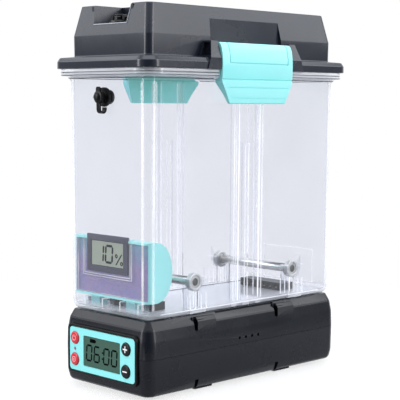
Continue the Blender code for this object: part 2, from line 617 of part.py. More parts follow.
def make_cartridge():
    teal = material("cartridge_teal", (150, 240, 238), 0.35)
    clear = material("window_plastic", (214, 210, 236), 0.1, clear=0.8)
    beads = material("desiccant", (140, 130, 195), 0.6)
    dark = material("gauge_plastic", (82, 82, 95), 0.5)
    screen = material("gauge_glass", (180, 185, 170), 0.15)
    steel = material("cell_steel", (196, 198, 202), 0.3, metallic=1.0)
    half_w, wall, front = CARTRIDGE_HALF_W, CARTRIDGE_WALL, CARTRIDGE_FRONT_Y
    left, right = GAUGE_X
    body_low, body_high = GAUGE_BODY_Z
    gauge_room = [((left - GAP, -130.0, GAUGE_Z[0] - GAP), (right + GAP, GAUGE_LIP_Y + GAP, 150.0)),
                  ((left + 2.0 - GAP, -130.0, body_low - GAP),
                   (right - 2.0 + GAP, GAUGE_Y[1] + GAP, body_high + GAP))]

    shell = prism("cartridge_shell", cartridge_side(0.0), "X", -half_w, half_w, teal)
    hollow = [(min(y, front + 40.0) if y > front else front - 5.0, z) for y, z in cartridge_side(wall)]
    cut(shell, prism("cartridge_hollow", hollow, "X", -half_w + wall, half_w - wall))
    plan = rounded(half_w, 30.0, CARTRIDGE_CORNER, centre=(0.0, front + 30.0))
    combine(shell, prism("cartridge_plan", plan, "Z", 60.0, 150.0), "INTERSECT")
    feet = [((x - 6.0, -116.0, 72.3), (x + 6.0, -107.0, 84.0)) for x in (-24.0, 24.0)]
    add(shell, blocks("cartridge_feet", feet))
    cut(shell, blocks("gauge_notch_in_shell", gauge_room))

    window = blocks("cartridge_window", [((-half_w + wall + GAP, front, 83.0 + wall + GAP),
                                          (half_w - wall - GAP, front + 1.6, 136.0 - wall - GAP))], clear)
    combine(window, prism("window_plan", plan, "Z", 60.0, 150.0), "INTERSECT")
    rails = [((left - 5.0, front - 0.6, 99.0), (left - 3.0, front + 0.5, 133.5)),
             ((right + 3.0, front - 0.6, 99.0), (right + 5.0, front + 0.5, 133.5)),
             ((left - 5.0, front - 0.6, 97.6), (right + 5.0, front + 0.5, 99.6))]
    add(window, blocks("window_rails", rails))
    cut(window, blocks("gauge_notch_in_window", gauge_room))

    inside = [(max(y, front + 1.9), z) for y, z in cartridge_side(wall + GAP)]
    fill = prism("desiccant_fill", inside, "X", -half_w + wall + GAP, half_w - wall - GAP, beads)
    fill_room = [((low[0] - GAP, low[1], low[2] - GAP), (high[0] + GAP, high[1] + GAP, high[2] + 10.0))
                 for low, high in gauge_room]
    cut(fill, blocks("gauge_notch_in_fill", fill_room))

    low, high = GAUGE_Z
    gauge = blocks("gauge_case", [((left + 2.0, GAUGE_LIP_Y - 1.0, body_low),
                                   (right - 2.0, GAUGE_Y[1], body_high))], dark)
    lip = [((left, GAUGE_Y[0], low), (right, GAUGE_LIP_Y, high))]
    add(gauge, blocks("gauge_lip", lip))
    cut(gauge, blocks("gauge_screen_seat", [((-24.4, -125.0, 111.0), (18.9, GAUGE_Y[0] + 1.6, 133.3))]))
    cell = [((-10.0, GAUGE_Y[1] - 4.0, 110.5), (10.0, -100.0, 130.5))]
    cut(gauge, blocks("gauge_cell_seat", cell))
    blocks("gauge_screen", [((-24.1, GAUGE_Y[0] + 0.4, 111.3), (18.6, GAUGE_Y[0] + 1.3, 133.0))], screen)
    disc = [(8.0, GAUGE_Y[1] - 3.6), (8.0, GAUGE_Y[1] - 0.6)]
    turned("gauge_cell", disc, "Y", (0.0, 120.5), steel, steps=20)
    names = ("cartridge_shell", "cartridge_window", "desiccant_fill",
             "gauge_case", "gauge_screen", "gauge_cell")
    on_axis("cartridge_axis", (0.0, -104.0, 83.0), *[bpy.data.objects[name] for name in names])


# ---- the lid and its latches ---------------------------------------------------------------
def make_lug(name, side_x, side_y):
    """One of the four lugs that carry the latch pins; it widens towards its foot."""
    section = [(57.6, LID_BASE_Z), (66.3, LID_BASE_Z), (66.3, LUG_FOOT_Z), (61.5, LUG_TOP_Z),
               (50.0, LUG_TOP_Z), (50.0, 295.4), (57.6, 295.4)]
    inner = [(side_x * x, side_y * LID_POCKET_HALF_L, z) for x, z in section]
    outer = [(side_x * x, side_y * (55.6 + 0.3 * (LUG_TOP_Z - z)), z) for x, z in section]
    return from_loops(name, [inner, outer])


def make_lid_shell(finish):
    groove = (52.5, 56.2)
    levels = [(LID_TOP_HALF_W - 0.8, LID_TOP_Z, LID_CORNER - 0.8),
              (LID_TOP_HALF_W, LID_TOP_Z - 0.8, LID_CORNER),
              (LID_BREAK_HALF_W, LID_BREAK_Z, LID_CORNER), (LID_FOOT_HALF_W, LID_FOOT_Z, LID_CORNER),
              (*LID_LEDGE, 12.3), (LID_FLANGE_HALF_W, LID_EDGE_Z, 14.0),
              (LID_FLANGE_HALF_W, LID_BASE_Z, 14.0), (groove[1], LID_BASE_Z, 11.0), (groove[1], 293.6, 11.0),
              (groove[0], 293.6, 7.3), (groove[0], LID_BASE_Z, 7.3), (49.2, LID_BASE_Z, 4.6),
              (LID_FOOT_HALF_W - LID_WALL, LID_FOOT_Z, 4.0), (LID_BREAK_HALF_W - LID_WALL, LID_BREAK_Z, 4.0),
              (LID_TOP_HALF_W - LID_WALL + 0.4, LID_TOP_Z - LID_WALL, 4.0)]
    shell = from_loops("lid_shell", [outline(half_w, radius, z) for half_w, z, radius in levels], finish)
    grip_wall = [((-GRIP_HALF_W - 3.5, -116.5, GRIP_FLOOR_Z - 2.4),
                  (GRIP_HALF_W + 3.5, GRIP_BACK_Y + 2.3, 341.0))]
    add(shell, blocks("grip_backing", grip_wall))
    inner_x = LID_POCKET_X - LID_WALL
    backing = [(inner_x, 296.0), (50.0, 296.0), (50.0, 317.0), (47.9, 331.8), (inner_x, 331.8)]
    for side_x in (-1, 1):
        section = [(side_x * x, z) for x, z in backing]
        add(shell, prism("pocket_backing", section, "Y", -49.6, 49.6))
    for side_x in (-1, 1):
        for side_y in (-1, 1):
            add(shell, make_lug("latch_lug", side_x, side_y))

    half_l = LID_POCKET_HALF_L
    top_l, top_z = LID_POCKET_TOP
    mouth = [(-half_l, 297.6), (half_l, 297.6), (half_l, LUG_TOP_Z), (top_l, top_z), (-top_l, top_z),
             (-half_l, LUG_TOP_Z)]
    for side_x in (-1, 1):
        near, far = sorted((side_x * LID_POCKET_X, side_x * 75.0))
        cut(shell, prism("latch_pocket", mouth, "X", near, far))
    cut(shell, blocks("latch_reach", both_sides([((61.5, -half_l, 280.0), (75.0, half_l, 300.0))])))
    floor, top = GRIP_FLOOR_Z, LID_TOP_Z + 4.0
    slope = 1.6
    grip = [(-GRIP_HALF_W + slope, floor), (GRIP_HALF_W - slope, floor), (GRIP_HALF_W + slope, top),
            (-GRIP_HALF_W - slope, top)]
    cut(shell, prism("grip_recess", grip, "Y", -135.0, GRIP_BACK_Y))
    for side in (-1, 1):
        pin_hole = [(LATCH_PIN_R + GAP, side * 40.0), (LATCH_PIN_R + GAP, side * (PIN_HALF_L + GAP))]
        core_y = sorted((side * 53.4, side * 70.0))
        for side_x in (-1, 1):
            spot = (side_x * LATCH_PIVOT[0], LATCH_PIVOT[1])
            cut(shell, turned("pin_hole", pin_hole, "Y", spot, steps=12))
            core = [(side_x * x, z) for x, z in LUG_CORE]
            cut(shell, prism("lug_core", core, "Y", *core_y))
    cut(shell, turned("top_outlet_hole", [(4.6, 315.0), (4.6, 330.0)], "Z", (0.0, TOP_OUTLET_Y)))
    return shell


def latch_section(side):
    """The latch's section in X and Z: curled over its pin, hollow behind, with a pull tab below."""
    points = [(55.0, 302.4), (55.6, 305.8), (57.4, 308.6), (59.8, 310.0), (62.2, 309.9), (64.2, 308.2),
              (66.1, 303.6), (67.1, 297.0), (67.4, 290.0), (67.2, 283.0), (66.9, 277.9), (66.1, 277.5),
              (66.1, 276.6), (66.9, 276.1), (67.0, 266.0), (66.6, 256.4), (65.9, 255.6), (64.5, 255.6),
              (63.8, 256.4), (62.0, 264.5), (58.4, 273.5), (57.9, 275.5), (57.9, 277.6), (61.8, 278.2),
              (63.8, 280.5), (64.4, 290.0), (64.0, 297.0), (62.6, 299.6), (60.0, 299.2), (57.0, 299.3)]
    return [(side * x, z) for x, z in points]


def make_latch(name, side, finish):
    latch = prism(name, latch_section(side), "Y", -LATCH_HALF_L, LATCH_HALF_L, finish)
    pivot = (side * LATCH_PIVOT[0], LATCH_PIVOT[1])
    hole = [(LATCH_PIN_R + GAP, -60.0), (LATCH_PIN_R + GAP, 60.0)]
    cut(latch, turned(name + "_pin_bore", hole, "Y", pivot, steps=12))
    for end in (-1, 1):
        corner = [(end * (LATCH_HALF_L + 0.2), 275.0), (end * (LATCH_HALF_L + 9.0), 275.0),
                  (end * (LATCH_HALF_L + 9.0), 250.0), (end * (LATCH_TIP_HALF_L - 1.2), 250.0),
                  (end * LATCH_TIP_HALF_L, 255.6)]
        low, high = sorted((side * 50.0, side * 75.0))
        cut(latch, prism(name + "_taper", corner, "X", low, high))
    on_axis(name + "_axis", (pivot[0], 0.0, pivot[1]), latch)


def make_lid():
    charcoal = material("lid_plastic", (72, 75, 84), 0.45)
    teal = material("latch_teal", (150, 240, 238), 0.35)
    rubber = material("gasket_rubber", (36, 36, 38), 0.8)
    black = material("top_outlet_plastic", (20, 20, 22), 0.45)
    steel = material("pin_steel", (190, 192, 196), 0.25, metallic=1.0)
    lid = [make_lid_shell(charcoal)]
    seal = [outline(half_w, radius, z) for half_w, radius, z in
            ((52.8, 7.6, 292.3), (55.9, 10.7, 292.3), (55.9, 10.7, 293.3), (52.8, 7.6, 293.3))]
    lid.append(from_loops("lid_gasket", seal, rubber, ring=True))
    for side_name, side in (("left", -1), ("right", 1)):
        spot = (side * LATCH_PIVOT[0], LATCH_PIVOT[1])
        pin = [(LATCH_PIN_R, -PIN_HALF_L), (LATCH_PIN_R, PIN_HALF_L)]
        lid.append(turned(side_name + "_latch_pin", pin, "Y", spot, steel, steps=12))
        make_latch(side_name + "_latch", side, teal)

    make_outlet("top", "Z", GRIP_FLOOR_Z, (0.0, TOP_OUTLET_Y), 1, 5.0, black)
    lid.append(bpy.data.objects["top_outlet"])
    head = GRIP_FLOOR_Z + 7.1
    profile = [(1.6, head - 9.0), (2.0, head - 8.0), (2.0, head), (4.2, head), (4.2, head + 1.0),
               (3.2, head + 1.6)]
    stopper = turned("top_plug", profile, "Z", (0.0, TOP_OUTLET_Y), rubber)
    half_wing = [(5.0, head + 1.4), (8.6, head + 0.8), (9.6, head - 1.2), (8.8, head - 3.6),
                 (6.4, head - 3.6), (5.8, head + 0.2)]
    wings = half_wing + [(-x, z) for x, z in reversed(half_wing)]
    add(stopper, prism("plug_wings", wings, "Y", TOP_OUTLET_Y - 2.2, TOP_OUTLET_Y + 2.2))
    on_axis("top_plug_axis", (0.0, TOP_OUTLET_Y, head), stopper)
    on_axis("lid_axis", (0.0, 0.0, LID_BASE_Z), *lid)


def main():
    for old in list(bpy.data.objects):
        bpy.data.objects.remove(old, do_unlink=True)
    make_dock_case()
    make_control_panel()
    make_dock_inside()
    make_box()
    make_cartridge()
    make_lid()


main()
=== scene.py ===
import math

import bmesh
import bpy
from mathutils import Matrix, Vector


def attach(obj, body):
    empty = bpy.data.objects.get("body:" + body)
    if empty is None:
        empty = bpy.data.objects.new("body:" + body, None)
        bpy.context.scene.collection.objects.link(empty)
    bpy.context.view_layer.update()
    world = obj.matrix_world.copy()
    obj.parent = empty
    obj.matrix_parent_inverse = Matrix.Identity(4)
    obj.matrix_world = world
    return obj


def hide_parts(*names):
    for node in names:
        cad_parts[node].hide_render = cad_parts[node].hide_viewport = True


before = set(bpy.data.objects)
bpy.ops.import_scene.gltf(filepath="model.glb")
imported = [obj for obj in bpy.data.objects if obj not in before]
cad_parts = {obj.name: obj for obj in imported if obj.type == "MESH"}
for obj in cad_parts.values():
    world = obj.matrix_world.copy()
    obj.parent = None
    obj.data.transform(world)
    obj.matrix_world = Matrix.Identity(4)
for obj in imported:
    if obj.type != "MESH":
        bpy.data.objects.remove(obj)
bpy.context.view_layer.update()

MM = 0.001
LONGER = 68.8  # how much longer than wide each half of the plan is
GAP = 0.3


# ---- meshes --------------------------------------------------------------------------------
def colour(red, green, blue):
    linear = []
    for channel in (red, green, blue):
        value = channel / 255
        linear.append(value / 12.92 if value <= 0.04045 else ((value + 0.055) / 1.055) ** 2.4)
    return (*linear, 1.0)


def place(name, data):
    made = bpy.data.objects.new(name, data)
    bpy.context.scene.collection.objects.link(made)
    return made


def from_work(name, work):
    mesh = bpy.data.meshes.new(name)
    work.to_mesh(mesh)
    work.free()
    return place(name, mesh)


def skin(work, loops, ring=False):
    """A closed skin over loops of points; a ring has no end faces."""
    rows = [[work.verts.new(Vector(point) * MM) for point in loop] for loop in loops]
    pairs = list(zip(rows, rows[1:]))
    if ring:
        pairs.append((rows[-1], rows[0]))
    else:
        work.faces.new(rows[0])
        work.faces.new(rows[-1])
    for low, high in pairs:
        for index in range(len(low)):
            after = (index + 1) % len(low)
            work.faces.new((low[index], low[after], high[after], high[index]))
    bmesh.ops.recalc_face_normals(work, faces=work.faces)


def from_loops(name, loops, ring=False):
    work = bmesh.new()
    skin(work, loops, ring)
    return from_work(name, work)


def blocks(name, boxes):
    """Boxes, each from its lowest to its highest corner, as one piece."""
    work = bmesh.new()
    for low, high in boxes:
        size = Vector(high) - Vector(low)
        middle = (Vector(high) + Vector(low)) / 2
        spot = Matrix.Translation(middle * MM) @ Matrix.Diagonal((*(size * MM), 1.0))
        bmesh.ops.create_cube(work, size=1.0, matrix=spot)
    return from_work(name, work)


def along(axis, run, across, up):
    """Turns a distance along an axis and two distances across it into a point."""
    return {"X": (run, across, up), "Y": (across, run, up), "Z": (across, up, run)}[axis]


def prism(name, points, axis, low, high):
    """A flat outline stretched along an axis."""
    return from_loops(name, [[along(axis, run, *point) for point in points] for run in (low, high)])


def circle(radius, axis, run, centre, steps):
    turns = [math.tau * (step + 0.5) / steps for step in range(steps)]
    return [along(axis, run, centre[0] + radius * math.cos(turn), centre[1] + radius * math.sin(turn))
            for turn in turns]


def turned(name, profile, axis, centre=(0.0, 0.0), ring=False, steps=64):
    """A lathe shape from (radius, distance along the axis) pairs."""
    return from_loops(name, [circle(radius, axis, run, centre, steps) for radius, run in profile], ring)


def rounded(half_w, half_h, radius, centre=(0.0, 0.0), steps=8):
    points = []
    for side_x, side_y, start in ((1, 1, 0), (-1, 1, 90), (-1, -1, 180), (1, -1, 270)):
        for step in range(steps + 1):
            turn = math.radians(start + 90 * step / steps)
            points.append((centre[0] + side_x * (half_w - radius) + radius * math.cos(turn),
                           centre[1] + side_y * (half_h - radius) + radius * math.sin(turn)))
    return points


def outline(half_w, radius, z, steps=12):
    """The rounded plan that the dock, the box and the lid share."""
    return [(x, y, z) for x, y in rounded(half_w, half_w + LONGER, radius, steps=steps)]


def combine(target, other, operation):
    step = target.modifiers.new("combine", "BOOLEAN")
    step.operation = operation
    step.solver = "EXACT"
    step.use_self = True
    step.object = other
    settle(target)
    bpy.data.objects.remove(other)


def settle(piece):
    """Replaces the piece's mesh by what its modifiers make of it."""
    graph = bpy.context.evaluated_depsgraph_get()
    mesh = bpy.data.meshes.new_from_object(piece.evaluated_get(graph))
    piece.modifiers.clear()
    piece.data = mesh


def cut(target, *others):
    for other in others:
        combine(target, other, "DIFFERENCE")


def add(target, *others):
    for other in others:
        combine(target, other, "UNION")


def both_sides(boxes):
    """The boxes of the +X side, and their mirror images."""
    return list(boxes) + [((-high[0], low[1], low[2]), (-low[0], high[1], high[2])) for low, high in boxes]


def soften(piece, width, segments=2, angle=28):
    """Rounds the piece's edges and smooths its shading."""
    piece.data.shade_smooth()
    edge = piece.modifiers.new("rounded_edges", "BEVEL")
    edge.width = width * MM
    edge.segments = segments
    edge.limit_method = "ANGLE"
    edge.angle_limit = math.radians(angle)
    edge.use_clamp_overlap = True
    edge.harden_normals = True
    edge.miter_outer = "MITER_ARC"
    return piece


def smooth(piece, angle=30):
    piece.data.shade_smooth()
    piece.data.set_sharp_from_angle(angle=math.radians(angle))
    return piece


def dress(piece, body, material):
    piece.data.materials.clear()
    piece.data.materials.append(material)
    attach(piece, body)


def finish_piece(piece, body, material, slot, *nodes):
    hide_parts(*nodes)
    dress(piece, body, material)


# ---- materials -----------------------------------------------------------------------------
def graph_of(name):
    """A new material, its node tree and output, and the place on the piece in its own space."""
    made = bpy.data.materials.new(name)
    made.use_nodes = True
    tree = made.node_tree
    tree.nodes.clear()
    output = tree.nodes.new("ShaderNodeOutputMaterial")
    return made, tree, output, node(tree, "TexCoord").outputs["Object"]


def node(tree, kind, **values):
    made = tree.nodes.new("ShaderNode" + kind)
    for key, value in values.items():
        setattr(made, key, value)
    return made


def feed(tree, target, name, source):
    """Links a socket, or sets a plain value."""
    socket = target.inputs[name]
    if isinstance(source, bpy.types.NodeSocket):
        tree.links.new(source, socket)
    else:
        socket.default_value = source


def wire(tree, first, second, socket=0):
    """Links a node's first output."""
    tree.links.new(first.outputs[0], second.inputs[socket])


def mixed(tree, share, first, second):
    """A mix of two shaders."""
    made = node(tree, "MixShader")
    feed(tree, made, 0, share)
    wire(tree, first, made, 1)
    wire(tree, second, made, 2)
    return made


def larger(tree, first, second):
    made = node(tree, "Math", operation="MAXIMUM")
    feed(tree, made, 0, first)
    feed(tree, made, 1, second)
    return made.outputs[0]


def noise(tree, vector, scale, detail=2.0, rough=0.5):
    made = node(tree, "TexNoise")
    feed(tree, made, "Vector", vector)
    feed(tree, made, "Scale", scale)
    feed(tree, made, "Detail", detail)
    feed(tree, made, "Roughness", rough)
    return made.outputs["Fac"]


def spread(tree, source, low, high, start=0.0, stop=1.0):
    made = node(tree, "MapRange")
    feed(tree, made, "Value", source)
    for name, value in (("From Min", start), ("From Max", stop), ("To Min", low), ("To Max", high)):
        feed(tree, made, name, value)
    return made.outputs["Result"]


def component(tree, vector, letter):
    parts = node(tree, "SeparateXYZ")
    feed(tree, parts, 0, vector)
    return parts.outputs[letter]


def blend_colour(tree, factor, first, second):
    made = node(tree, "Mix", data_type="RGBA")
    feed(tree, made, 0, factor)
    feed(tree, made, 6, first)
    feed(tree, made, 7, second)
    return made.outputs[2]


def bumps(tree, height, strength, distance):
    made = node(tree, "Bump")
    feed(tree, made, "Height", height)
    feed(tree, made, "Strength", strength)
    feed(tree, made, "Distance", distance)
    return made.outputs["Normal"]


def plastic(name, rgb, roughness, grain=2400.0, grain_depth=0.00002, shine=0.5, vary=0.06,
            metallic=0.0, coat=0.0, wear_and_glint=0.22):
    """Moulded plastic: a fine texture, slow changes of shade and gloss, and paler edges, partly wear and partly
    painted highlight.
    """
    made, tree, output, place_of = graph_of(name)
    base = colour(*rgb)
    slow = noise(tree, place_of, 18.0, 4.0, 0.6)
    shade = blend_colour(tree, spread(tree, slow, 0.0, 1.0, 0.3, 0.7),
                         tuple(c * (1 - vary) for c in base[:3]) + (1.0,),
                         tuple(min(1.0, c * (1 + vary)) for c in base[:3]) + (1.0,))
    # paler convex edges: partly wear, partly a painted highlight where edges catch the light
    edge = node(tree, "NewGeometry").outputs["Pointiness"]
    worn_and_glinting = spread(tree, edge, 0.0, 0.35, 0.53, 0.62)
    paler = tuple(c + (1 - c) * wear_and_glint for c in base[:3]) + (1.0,)
    shade = blend_colour(tree, worn_and_glinting, shade, paler)
    fine = noise(tree, place_of, grain, 2.0, 0.6)
    shader = node(tree, "BsdfPrincipled")
    feed(tree, shader, "Base Color", shade)
    feed(tree, shader, "Roughness", spread(tree, slow, roughness - 0.05, roughness + 0.05, 0.3, 0.7))
    feed(tree, shader, "Specular IOR Level", shine)
    feed(tree, shader, "Metallic", metallic)
    feed(tree, shader, "Coat Weight", coat)
    feed(tree, shader, "Coat Roughness", 0.15)
    feed(tree, shader, "Normal", bumps(tree, fine, 0.35, grain_depth))
    wire(tree, shader, output)
    return made


def ink(name, rgb):
    """Printed or lit-out marks: matt, slightly uneven, with no paler edges."""
    return plastic(name, rgb, 0.7, grain=900.0, grain_depth=0.0, shine=0.0, wear_and_glint=0.0)


def display_look(name, rgb):
    return plastic(name, rgb, 0.5, grain_depth=0.0, vary=0.04, shine=0.2, wear_and_glint=0.0)


def clear_plastic(name, tint, veil, rim=0.75, painted_rim_shade=False):
    """Thin clear plastic: see-through, glossy, and whiter where a face is seen edge-on."""
    made, tree, output, place_of = graph_of(name)
    slow = noise(tree, place_of, 14.0, 2.0, 0.5)
    through = node(tree, "BsdfTransparent")
    feed(tree, through, "Color", blend_colour(tree, spread(tree, slow, 0.0, 1.0, 0.3, 0.7), tint,
                                              tuple(c * 0.985 for c in tint[:3]) + (1.0,)))
    haze = node(tree, "BsdfPrincipled")
    feed(tree, haze, "Base Color", (0.95, 0.95, 0.985, 1.0))
    feed(tree, haze, "Roughness", 0.35)
    facing = node(tree, "LayerWeight")
    feed(tree, facing, "Blend", 0.5)
    turned_away = spread(tree, facing.outputs["Facing"], veil, rim, 0.5, 0.95)
    # painted shade: more haze in bands at the rim's underside and low on the walls near the box floor, standing
    # in for shade and refraction there
    if painted_rim_shade:
        height = component(tree, place_of, "Z")
        for near, full, share in ((0.2785, 0.281, 0.42), (0.079, 0.0715, 0.3)):
            turned_away = larger(tree, turned_away, spread(tree, height, 0.0, share, near, full))
    body = mixed(tree, turned_away, through, haze)
    gloss = node(tree, "BsdfAnisotropic")
    feed(tree, gloss, "Color", (1.0, 1.0, 1.0, 1.0))
    feed(tree, gloss, "Roughness", 0.06)
    wavy = noise(tree, place_of, 22.0, 1.0, 0.4)
    feed(tree, gloss, "Normal", bumps(tree, wavy, 0.2, 0.00004))
    steep = node(tree, "Math", operation="POWER")
    feed(tree, steep, 0, facing.outputs["Facing"])
    feed(tree, steep, 1, 5.0)
    wire(tree, mixed(tree, spread(tree, steep.outputs[0], 0.035, 0.8), body, gloss), output)
    return made


def beads_look():
    """Blue desiccant beads in a tray: packed cells with painted shade in the gaps, turning pinker lower down
    and teal at the top.
    """
    made, tree, output, place_of = graph_of("desiccant_look")
    cells = node(tree, "TexVoronoi")
    feed(tree, cells, "Vector", place_of)
    feed(tree, cells, "Scale", 420.0)
    slow = noise(tree, place_of, 60.0, 3.0, 0.6)
    patches = spread(tree, slow, 0.0, 1.0, 0.35, 0.65)
    low = blend_colour(tree, patches, colour(182, 168, 232), colour(208, 176, 226))
    height = spread(tree, component(tree, place_of, "Z"), 0.0, 1.0, 0.112, 0.133)
    shade = blend_colour(tree, height, low, colour(140, 214, 232))
    # painted shade in the crevices between beads
    gap_shade = spread(tree, cells.outputs["Distance"], 0.0, 0.3, 0.3, 0.9)
    shade = blend_colour(tree, gap_shade, shade, colour(112, 104, 172))
    shader = node(tree, "BsdfPrincipled")
    feed(tree, shader, "Base Color", shade)
    feed(tree, shader, "Roughness", 0.5)
    feed(tree, shader, "Normal", bumps(tree, spread(tree, cells.outputs["Distance"], 1.0, 0.0), 0.5, 0.0006))
    wire(tree, shader, output)
    return made


CHARCOAL = plastic("dock_plastic_look", (18, 21, 29), 0.27, shine=0.32, wear_and_glint=0.08)
LID_GREY = plastic("lid_plastic_look", (32, 36, 47), 0.25, shine=0.5, wear_and_glint=0.05)
TEAL_RGB = (145, 236, 236)
SMOOTH_GRAIN = 0.000006
TEAL = plastic("teal_plastic_look", TEAL_RGB, 0.38, grain_depth=SMOOTH_GRAIN, vary=0.03, coat=0.1)
# painted light: a lighter copy of the teal plastic, making up for the light the clear box takes from the
# cartridge
BRIGHTENED_CARTRIDGE_TEAL = plastic("cartridge_brightened_teal_look", (180, 254, 247), 0.38, grain_depth=SMOOTH_GRAIN, vary=0.03)
BLACK = plastic("black_plastic_look", (10, 10, 12), 0.35, wear_and_glint=0.04, shine=0.3)
RUBBER = plastic("rubber_look", (6, 6, 7), 0.4, grain=1200.0, wear_and_glint=0.03, shine=0.22)
RED = plastic("red_plastic_look", (214, 34, 50), 0.28, grain_depth=SMOOTH_GRAIN, coat=0.3)
GAUGE_GREY = plastic("gauge_plastic_look", (78, 78, 92), 0.5, shine=0.3, wear_and_glint=0.1)
LCD_DOCK = display_look("dock_display_look", (64, 94, 82))
LCD_GAUGE = display_look("gauge_display_look", (176, 182, 164))
INK = ink("segment_look", (10, 14, 12))
GAUGE_INK = ink("gauge_segment_look", (14, 18, 16))
WHITE_INK = ink("white_mark_look", (240, 240, 242))
STEEL = plastic("steel_look", (226, 224, 220), 0.24, metallic=0.8, grain=900.0)
RACE = plastic("bearing_ring_look", (224, 223, 218), 0.35, metallic=0.3, grain=900.0)
DARK_STEEL = plastic("seal_look", (84, 82, 76), 0.5, metallic=0.5, grain=700.0, grain_depth=0.00008, wear_and_glint=0.05)
BEADS = beads_look()
CLEAR = clear_plastic("clear_plastic_look", (0.966, 0.971, 0.992, 1.0), 0.025, rim=0.9, painted_rim_shade=True)
WINDOW = clear_plastic("window_look", (0.97, 0.975, 0.995, 1.0), 0.07, rim=0.85)


def line_look(name, rgb, share, painted_glow=0.0):
    """Painted highlight and painted shade lines along the edges of the clear mouldings, partly see-through;
    the pale ones glow with a little emission as painted light."""
    made, tree, output, place_of = graph_of(name)
    slow = noise(tree, place_of, 30.0, 2.0, 0.5)
    through = node(tree, "BsdfTransparent")
    glint_shader = node(tree, "BsdfPrincipled")
    feed(tree, glint_shader, "Base Color", colour(*rgb))
    feed(tree, glint_shader, "Roughness", 0.3)
    feed(tree, glint_shader, "Emission Color", (1.0, 1.0, 1.0, 1.0))
    feed(tree, glint_shader, "Emission Strength", painted_glow)
    share = spread(tree, slow, share - 0.12, min(share + 0.12, 1.0), 0.3, 0.7)
    wire(tree, mixed(tree, share, through, glint_shader), output)
    return made


# painted highlights: pale, glowing lines where the clear mouldings' edges would glint
GLINT_LINES = line_look("painted_glint_edge_look", (253, 253, 255), 0.66, painted_glow=0.34)
SOFT_GLINT_LINES = line_look("soft_painted_glint_edge_look", (250, 250, 255), 0.26, painted_glow=0.4)
SHADE = line_look("shaded_edge_look", (70, 70, 88), 0.6)
# painted highlight: a pale colour for the lit chamfer along the grip recess
LIP = plastic("painted_highlight_edge_look", (176, 180, 188), 0.3, wear_and_glint=0.0)


def clasp_look(name, side):
    """The teal plastic of a clasp, with a painted glow: emission on its inward face stands in for light through
    the clear box.
    """
    made = plastic(name, TEAL_RGB, 0.38, grain_depth=SMOOTH_GRAIN, vary=0.03, coat=0.1)
    tree = made.node_tree
    shader = next(item for item in tree.nodes if item.type == "BSDF_PRINCIPLED")
    across = component(tree, node(tree, "TexCoord").outputs["Normal"], "X")
    # painted light: emission on the inward face, as if lit through the clear box
    feed(tree, shader, "Emission Color", (0.24, 1.0, 0.82, 1.0))
    feed(tree, shader, "Emission Strength", spread(tree, across, 0.0, 0.3, -0.4 * side, -0.8 * side))
    return made


def bars(name, segments, size):
    """Slim square bars, each from one point to another."""
    work = bmesh.new()
    for start, stop in segments:
        reach = Vector(stop) - Vector(start)
        turn = reach.to_track_quat("Z", "Y").to_matrix().to_4x4()
        spot = Matrix.Translation((Vector(start) + reach / 2) * MM) @ turn
        shape = Matrix.Diagonal((size * MM, size * MM, reach.length * MM, 1.0))
        bmesh.ops.create_cube(work, size=1.0, matrix=spot @ shape)
    return from_work(name, work)


def trim(piece, body, material):
    dress(soften(piece, 0.12, 1), body, material)


# ---- the dock ------------------------------------------------------------------------------
CLIP_Y = (-55.5, 50.5)
CLIP_HALF_L = 12.5
VALVE_Y = (-87.0, 87.0)
PANEL_Y, PANEL_Z = -129.2, 33.8
CUT_Y = (-135.0, -118.0)


def panel_cutter():
    return prism("panel_cutter", rounded(47.2, 22.4, 4.9, centre=(0.0, PANEL_Z)), "Y", *CUT_Y)


def corner_spots(half_x, half_y):
    return [(side_x * half_x, side_y * half_y) for side_x in (-1, 1) for side_y in (-1, 1)]


def make_lower_shell():
    outer = [(50.9, 2.0), (52.6, 2.3), (54.4, 3.2), (55.7, 4.7), (56.5, 6.8), (57.3, 9.6), (57.8, 13.0),
             (58.3, 35.5)]
    inner = [(56.1, 35.5), (55.4, 12.4), (54.0, 7.6), (51.0, 4.4)]
    shell = from_loops("dock_lower", [outline(half_w, half_w - 46.8, z) for half_w, z in outer + inner])
    tabs, slots = [], []
    for middle in CLIP_Y:
        first = middle - CLIP_HALF_L
        tabs.append(((44.0, first + 3.6, 0.8), (52.6, first + 2 * CLIP_HALF_L, 3.5)))
        tabs.append(((51.0, first - 1.5, 3.2), (54.5, first + 5.0, 14.0)))
        slots.append(((53.2, first - 0.8, 0.0), (60.0, first + 3.4, 11.0)))
    add(shell, blocks("tabs", both_sides(tabs)))
    cut(shell, blocks("slots", both_sides(slots)), panel_cutter())
    cut(shell, blocks("inlet", [((13.6, 110.0, 15.6), (38.4, 130.0, 32.4))]))
    rows = [6.0 * row for row in range(-3, 4)]
    cut(shell, blocks("intake", [((-20.0, y - 1.5, 0.0), (20.0, y + 1.5, 8.0)) for y in rows]))
    for spot in corner_spots(41.0, 108.0):
        cut(shell, turned("recess", [(6.3, 0.0), (6.3, 3.2)], "Z", spot, steps=32))
    for spot in corner_spots(38.0, 88.0):
        cut(shell, turned("hole", [(3.6, 0.0), (3.6, 3.0), (1.9, 3.0), (1.9, 8.0)], "Z", spot, steps=24))
    soften(shell, 0.35, 2, 8)
    finish_piece(shell, "dock", CHARCOAL, "dock_plastic", "dock_lower_shell")


